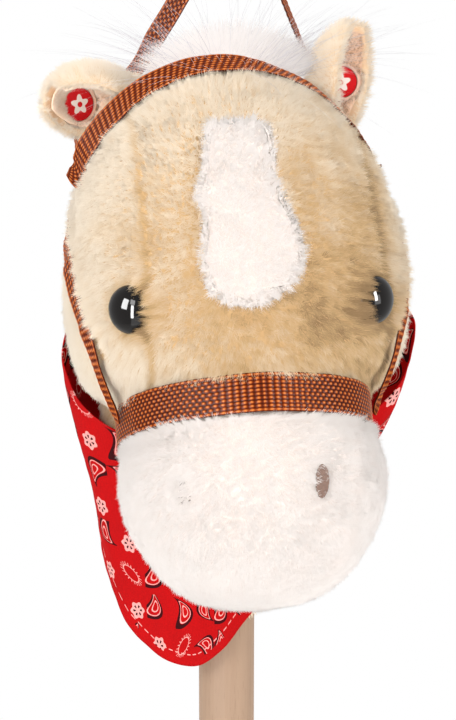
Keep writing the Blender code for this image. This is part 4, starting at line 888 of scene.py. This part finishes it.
def makeHair(brush, wisps, mane):
    rng = np.random.default_rng(71)
    low, high = (np.array(v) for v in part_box("forelock"))
    half = (high - low) / 2
    seat = np.array([*(low + half)[:2], low[2] + 0.004])

    def scattered(count):
        around = rng.uniform(0, 2 * pi, count)
        return count, np.cos(around), np.sin(around), np.sqrt(rng.random(count))

    count, cos, sin, out = scattered(brush["count"])
    root = seat + rowsOf(out * cos * half[0] * 0.8, out * sin * half[1] * 0.8, 0.006 * (1 - out ** 2))
    way = unit(rowsOf(cos * out * 0.85, sin * out * 0.8, 1) + rng.normal(size=(count, 3)) * 0.2)
    length = rng.uniform(0.018, 0.026, count) * (1 - 0.2 * out)
    sag = rowsOf(cos * 0.2 * out, sin * 0.2 * out, -0.12 * out)
    away = unit(root + [0, 0, 0.012] - seat + way * 0.01)
    hairs = tufts("forelock_brush", brush, root, way, length, sag, away, plush["whiteHair"], rng)
    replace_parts(hairs, "forelock")

    count, cos, sin, out = scattered(wisps["count"])
    root = seat + rowsOf(out * cos * half[0], out * sin * half[1], 0.004)
    way = rowsOf(cos, np.minimum(sin * 0.6, 0.15) - 0.05, rng.uniform(0.25, 1.1, count))
    way = unit(way + rng.normal(size=(count, 3)) * [0.25, 0.12, 0.25])
    length = rng.uniform(0.028, 0.062, count)
    sag = rowsOf(cos * 0.1, sin * 0.05 - 0.1, -rng.uniform(0.05, 0.35, count))
    tufts("forelock_wisps", wisps, root, way, length, sag, way, plush["greyHair"], rng)

    points, tris = cadArrays("mane")
    outer, normals = outside(points, tris, headCentre, 0.1)
    root, away = roots(points, tris[outer], normals, 10.0, rng)
    pick = rng.permutation(len(root))[:mane["count"]]
    root, away, count = root[pick], away[pick], len(pick)
    way = unit(away * 0.5 + [0, 0, -0.8] + rng.normal(size=(count, 3)) * 0.15)
    sag = np.tile([0, -0.1, -0.35], (count, 1))
    length = rng.uniform(0.014, 0.026, count)
    root = root - away * 6 * mm
    hairs = tufts("mane_hair", mane, root, way, length, sag, away, plush["whiteHair"], rng)
    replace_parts(hairs, "mane")


makeHair(**hair)
print("hair made")

# neck scarf: printed cotton, a triangle hung point down at the front
scarf = {"ground": "#bc0508", "shade": "#a0060a", "ink": "#e59e98", "dark": "#36060b", "tile": 15.5,
         "levels": 3, "axis": 0.012, "reach": 0.062, "width": 0.4, "collarFrom": 0.812}


def scarfMaterial(spec):
    mat, tree = newMaterial("printedCotton", Roughness=0.85, Specular_IOR_Level=0.04)
    calc = partial(calculate, tree)
    names = "MULTIPLY", "MULTIPLY_ADD", "COMPARE", "MAXIMUM"
    times, scaled, near, most = (partial(calc, name) for name in names)

    def vector(operation, *values):
        return node(tree, "VectorMath", dict(enumerate(values)), operation=operation)

    # each square of the cloth holds one figure, its kind, turn and place drawn at random
    tile = vector("MULTIPLY", node(tree, "UVMap", uv_map="cloth"), (1000 / spec["tile"],) * 3)
    cell = vector("FLOOR", tile)
    chance = node(tree, "TexWhiteNoise", {"Vector": cell}, noise_dimensions="3D").outputs["Color"]
    random = node(tree, "SeparateColor", {"Color": chance}).outputs
    shift = vector("MULTIPLY_ADD", chance, (0.26, 0.26, 0), (0.37, 0.37, 0))
    local = vector("SUBTRACT", vector("SUBTRACT", tile, cell), shift)
    angle = times(random["Red"], 6.283)
    turned = node(tree, "VectorRotate", {"Vector": local, "Angle": angle}, rotation_type="Z_AXIS")
    x, y = node(tree, "SeparateXYZ", {"Vector": turned}).outputs[:2]
    flower = calc("LESS_THAN", random["Green"], 0.3)
    paisley = calc("GREATER_THAN", random["Green"], 0.62)
    leaf = calc("SUBTRACT", 1.0, calc("ADD", flower, paisley))
    # the paisley bends to one side: x grows with y squared
    bent = scaled(times(times(y, y), paisley), 1.5, x)
    # half widths of the figure: a round flower, a slim leaf, a paisley that narrows to its tip
    wide = scaled(flower, 0.09, 0.15)
    wide = scaled(times(y, paisley), -0.35, wide)
    wide = most(scaled(paisley, 0.05, wide), 0.03)
    across = calc("DIVIDE", bent, wide)
    up = calc("DIVIDE", y, scaled(flower, -0.1, 0.34))
    radius = vector("LENGTH", node(tree, "CombineXYZ", {"X": across, "Y": up})).outputs["Value"]
    turn = calc("ARCTAN2", up, across)
    # in ink: the outline, six petals on a flower, a smaller outline in the paisley, and ticks round the leaf
    six = calc("COSINE", times(turn, 6.0))
    edge = scaled(times(six, flower), 0.13, 1.0)
    line = near(radius, edge, 0.055)
    inner = times(near(radius, 0.5, 0.07), paisley)
    filled = times(calc("LESS_THAN", radius, edge), flower)
    ticks = calc("GREATER_THAN", calc("COSINE", times(turn, 20.0)), 0.72)
    ticks = times(times(ticks, near(radius, 1.22, 0.2)), leaf)
    ink = most(most(most(line, inner), filled), ticks)
    # dark marks: dots round the flower's middle, and a heavy line round the paisley
    dots = times(calc("GREATER_THAN", six, 0.2), near(radius, 0.52, 0.2))
    heavy = times(near(radius, 1.3, 0.2), paisley)
    dark = most(times(dots, flower), heavy)
    # a dashed line inside the lower edge, and nothing outside it
    run, inset = node(tree, "SeparateXYZ", {"Vector": node(tree, "UVMap", uv_map="hem")}).outputs[:2]
    dash = calc("LESS_THAN", calc("MODULO", run, 0.004), 0.0024)
    dash = times(dash, near(inset, 0.0056, 0.00022))
    margin = calc("GREATER_THAN", inset, 0.0035)
    ink = most(times(ink, margin), dash)
    ground = mixed(tree, noise(tree, 45.0, 2.0), spec["shade"], spec["ground"])
    inked = mixed(tree, ink, ground, spec["ink"])
    thread = noise(tree, 1600.0, 1.0)
    printed = mixed(tree, times(dark, margin), inked, spec["dark"])
    paint(tree, mixed(tree, 0.18, printed, thread, blend_type="OVERLAY"), thread, 0.35, 0.0002)
    return mat


cotton = scarfMaterial(scarf)


def setUv(mesh, name, *uv):
    corners = readMesh(mesh.loops, "vertex_index", 1, np.int32)[:, 0]
    writeMesh(mesh.uv_layers.new(name=name).data, "uv", rowsOf(*uv)[corners])


def thicken(ob, thickness, offset):
    wall = ob.modifiers.new("cloth", "SOLIDIFY")
    wall.thickness, wall.offset = thickness * mm, offset


def smoothRegion(tris, face, chosen):  # what joins the chosen softly
    edges = np.sort(tris[:, [[0, 1], [1, 2], [2, 0]]].reshape(-1, 2), axis=1)
    _, edge = np.unique(edges, axis=0, return_inverse=True)
    edge = edge.reshape(-1)
    order = np.argsort(edge, kind="stable")
    twin = edge[order[1:]] == edge[order[:-1]]
    a, b = order[:-1][twin] // 3, order[1:][twin] // 3
    soft = dot(face[a], face[b]) > 0.8
    a, b = a[soft], b[soft]
    for _ in range(200):
        grown = chosen.copy()
        grown[b[chosen[a]]] = True
        grown[a[chosen[b]]] = True
        if (grown == chosen).all():
            break
        chosen = grown
    return chosen


def makeScarf(levels, axis, reach, width, collarFrom, **_):
    points, tris = cadArrays("neck_scarf")
    cross, middle = crosses(points, tris)
    face = unit(cross)
    outer = smoothRegion(tris, face, dot(face, unit((middle - [0, axis, 0]) * [1, 1, 0])) > 0.6)
    used, again = np.unique(tris[outer], return_inverse=True)
    ob = finish("neck_scarf_cloth", points[used], again.reshape(-1, 3), cotton)
    with meshEdited(ob.data) as bm:
        bmesh.ops.join_triangles(bm, faces=bm.faces, angle_face_threshold=1.0, angle_shape_threshold=3.0)
        collar = [v for v in bm.verts if v.co.z > collarFrom and v.co.y > -0.01]  # even under the jaw
        allWays = {f"use_axis_{way}": True for way in "xyz"}
        for _ in range(12):
            bmesh.ops.smooth_vert(bm, verts=collar, factor=0.5, **allWays)
    mod = ob.modifiers.new("round", "SUBSURF")
    mod.levels = mod.render_levels = levels
    mod.boundary_smooth = "PRESERVE_CORNERS"
    bpy.context.view_layer.update()
    rounded = bpy.data.meshes.new_from_object(ob.evaluated_get(bpy.context.evaluated_depsgraph_get()))
    ob.modifiers.clear()
    ob.data = rounded
    points, normals = (readMesh(rounded.vertices, key, 3) for key in ("co", "normal"))

    def turnOf(points):
        return np.arctan2(points[:, 0], -(points[:, 1] - axis))

    # fine creases run down the cloth, and a soft ripple over it
    turn = turnOf(points)
    ripple = 0.28 * np.sin(17 * turn + 60 * points[:, 2]) + 0.35 * waves(points, 26 * mm, 7)
    ripple += 0.16 * waves(points, 9 * mm, 9) + 0.1
    points = points + normals * (ripple * mm)[:, None]
    writeMesh(rounded.vertices, "co", points)
    setUv(rounded, "cloth", turn * reach, points[:, 2])
    edge = boundary(rounded, points)
    low = edge[edge[:, 2] < np.interp(turnOf(edge), *middleLine(points, turn))]
    setUv(rounded, "hem", turn * reach + 0.4, nearest(points, low))
    thicken(ob, 0.5, -1)
    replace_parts(ob, "neck_scarf")


def boundary(mesh, points):
    corners = readMesh(mesh.loops, "edge_index", 1, np.int64)[:, 0]
    ends = readMesh(mesh.edges, "vertices", 2, np.int64)
    return points[np.unique(ends[np.bincount(corners, minlength=len(ends)) == 1])]


def middleLine(points, turn):  # halfway down the cloth, round the neck
    bins = np.linspace(-pi, pi, 61)
    which = np.digitize(turn, bins) - 1
    high, low = np.full(60, -1.0), np.full(60, 2.0)
    np.maximum.at(high, which, points[:, 2])
    np.minimum.at(low, which, points[:, 2])
    fine = high > 0
    return (bins[:-1] + bins[1:])[fine] / 2, (high + low)[fine] / 2


makeScarf(**scarf)

# the scarf's knot behind the neck: a tight roll of cloth with two tails
knot = {"half": (14, 9, 11), "tail": 46, "width": 17}


def makeKnot(half, tail, width):
    low, high = (np.array(v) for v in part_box("scarf_knot"))
    half, width = np.array(half) * mm, width * mm
    middle = np.array([0, (low[1] + high[1]) / 2, high[2] - half[2]])
    turns = np.linspace(0, 2 * pi, 80, endpoint=False)
    a, b = np.meshgrid(np.linspace(0.02, pi - 0.02, 40), turns, indexing="ij")
    # a ball drawn in at its waist, with folds that wind round it
    fold = 1 - 0.16 * np.exp(-(np.cos(a) / 0.25) ** 2) + 0.045 * np.sin(7 * b + 5 * np.cos(a))
    ball = np.stack([np.cos(a), np.sin(a) * np.cos(b), np.sin(a) * np.sin(b)], axis=-1)
    ball = ball * fold[..., None] * half * 0.97 + middle
    ob = finish("scarf_knot_roll", ball.reshape(-1, 3), surfaceGrid(40, 80, ring=True), cotton)
    setUv(ob.data, "cloth", b.ravel() * 0.01, a.ravel() * 0.01)
    setUv(ob.data, "hem", np.full(a.size, 0.05), 0.05)
    with meshEdited(ob.data) as bm:
        bmesh.ops.holes_fill(bm, edges=[e for e in bm.edges if e.is_boundary])
        bmesh.ops.recalc_face_normals(bm, faces=bm.faces)
    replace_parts(ob, "scarf_knot")
    share, v = np.meshgrid(np.linspace(0, 1, 60), np.linspace(-1, 1, 24), indexing="ij")
    drop = tail * mm * share
    wide = width / 2 * (0.35 + 0.65 * np.sin(pi / 2 * np.minimum(share * 1.6, 1)))
    wide = wide * np.where(share < 0.8, 1, 1 - (share - 0.8) * 3)
    y = 1 * mm + 6 * mm * np.sin(share * 2.2) + 1.1 * mm * np.sin(2.6 * v + 3 * share) * share
    for side, name in ((-1, "right"), (1, "left")):
        x = side * (7 * mm + drop * 0.35) + wide * v
        shape = np.stack([x, y, -3 * mm - drop], axis=-1) + middle
        ob = finish(f"scarf_tail_{name}", shape.reshape(-1, 3), surfaceGrid(60, 24), cotton)
        setUv(ob.data, "cloth", (wide * v).ravel() + side * 0.05, -drop.ravel() + 0.03)
        setUv(ob.data, "hem", drop.ravel(), (wide * (1 - np.abs(v))).ravel() + 0.002)
        thicken(ob, 0.6, 0)


makeKnot(**knot)
print("scarf made")

# what stays as the CAD made it gets the finish of the real thing
# the wood is coloured darker, as the stick lies in the head's shade: painted shade
woodWithPaintedShade = {"pale": "#ab8f77", "dark": "#957a64", "pore": "#795d49"}


def dress(nodes, mat):
    for name in nodes:
        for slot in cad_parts[name].material_slots:
            slot.material = mat


def finishes():
    # close grain that runs along the stick
    mat, tree = newMaterial("sandedBirchDowel", Roughness=0.55, Specular_IOR_Level=0.2)
    grain = noise(tree, 1.0, 4.0, (260.0, 260.0, 9.0), Distortion=0.6)
    pores = noise(tree, 1.0, 2.0, (1500.0, 1500.0, 120.0))
    tone = mixed(tree, grain, woodWithPaintedShade["dark"], woodWithPaintedShade["pale"])
    dots = node(tree, "MapRange", {"Value": pores, "From Min": 0.6, "From Max": 0.8, "To Max": 0.5})
    paint(tree, mixed(tree, dots, tone, woodWithPaintedShade["pore"]), pores, 0.12, 0.0004)
    dress(["stick"], mat)
    for name, colour, second, rough, metal, size, depth, nodes in (
        ("mouldedRubber", "#26221f", "#332e2a", 0.75, 0, 700.0, 0.3, ["foot_cap"]),
        ("mouldedPolypropylene", "#e9e7e1", "#dcdad3", 0.45, 0, 900.0, 0.15,
         ("stick_top_disc", "neck_cable_tie", "sound_case", "sound_case_cover", *pair("eye_washer"),
          *pair("ear_plunger"))),
        ("fleshTintedPolypropylene", "#ecc8b4", "#e2bba6", 0.6, 0, 900.0, 0.15, pair("ear_switch_case")),
        ("zincPlatedSteel", "#b9bcc0", "#9fa3a8", 0.28, 1, 600.0, 0.1,
         ("stick_top_screw", "speaker", "button_cells", *pair("sound_case_screw"), *pair("cell_contact"))),
        ("maskedCircuitBoard", "#1d5a2e", "#174a26", 0.35, 0, 300.0, 0.1, ["circuit_board"]),
        ("polyesterFilling", "#f2f1ec", "#dedcd4", 0.95, 0, 260.0, 0.9, ("head_stuffing", "neck_stuffing")),
        ("satinStitch", "#7a553f", "#4f3222", 0.75, 0, 1100.0, 0.8, pair("nostril")),
    ):
        mat, tree = newMaterial(name, Roughness=rough, Metallic=metal)
        fine = noise(tree, size, 3.0)
        paint(tree, mixed(tree, fine, colour, second), fine, depth, 0.0004)
        dress(nodes, mat)


finishes()
print("finishes set")

# plain light: a pale world, white to the camera and to reflections, and soft lamps
light = {"world": 0.98, "key": 8.5, "fill": 4.5, "top": 5, "low": 4, "window": 24}


def makeStage(spec):
    world = bpy.data.worlds.new("studio")
    world.use_nodes = True
    scene.world = world
    tree = world.node_tree
    soft = tree.nodes["Background"]
    soft.inputs["Color"].default_value = (1, 1, 1, 1)
    soft.inputs["Strength"].default_value = spec["world"]
    white = node(tree, "Background", {"Color": (1, 1, 1, 1), "Strength": 1.0})
    rays = node(tree, "LightPath").outputs
    seen = calculate(tree, "MAXIMUM", rays["Is Camera Ray"], rays["Is Glossy Ray"])
    seen = calculate(tree, "MAXIMUM", seen, rays["Is Transmission Ray"])
    mix = node(tree, "MixShader", {0: seen, 1: soft, 2: white})
    tree.links.new(mix.outputs[0], tree.nodes["World Output"].inputs["Surface"])
    # the windows light nothing: they are there to be mirrored in the eyes
    for name, place, size in (
        ("key", (-0.75, -1.0, 1.55), (0.4, 0.4)),
        ("fill", (1.0, -0.8, 0.95), (0.5, 0.5)),
        ("top", (0.1, 0.5, 1.9), (0.9, 0.9)),
        ("low", (-0.3, -0.9, 0.25), (0.8, 0.8)),
        ("windowLeft", (-0.85, -0.45, 1.15), (0.32, 0.5)),
        ("windowFront", (-0.62, -0.85, 0.85), (0.16, 0.7)),
        ("windowRight", (0.75, -0.7, 1.15), (0.2, 0.5)),
    ):
        data = bpy.data.lights.new(name, "AREA")
        data.shape = "RECTANGLE"
        data.size, data.size_y = size
        data.energy = spec.get(name, spec["window"])
        ob = placed(name, data)
        ob.location = place
        way = np.array([0, 0, 0.83]) - np.array(place)
        yaw, reach = math.atan2(way[1], way[0]), math.hypot(way[0], way[1])
        ob.rotation_euler = (math.atan2(reach, -way[2]), 0, yaw - pi / 2)
        ob.visible_diffuse = not name.startswith("window")
    mat, _ = newMaterial("paleFloor", Roughness=0.6, Base_Color="#f4f3f1")
    a = np.linspace(0, 2 * pi, 96, endpoint=False)
    rim = rowsOf(1.1 * np.cos(a), 1.1 * np.sin(a), -0.0005)
    finish("floor", rim, [list(range(96))], mat, body=None)


makeStage(light)
scene.view_settings.view_transform = "Standard"
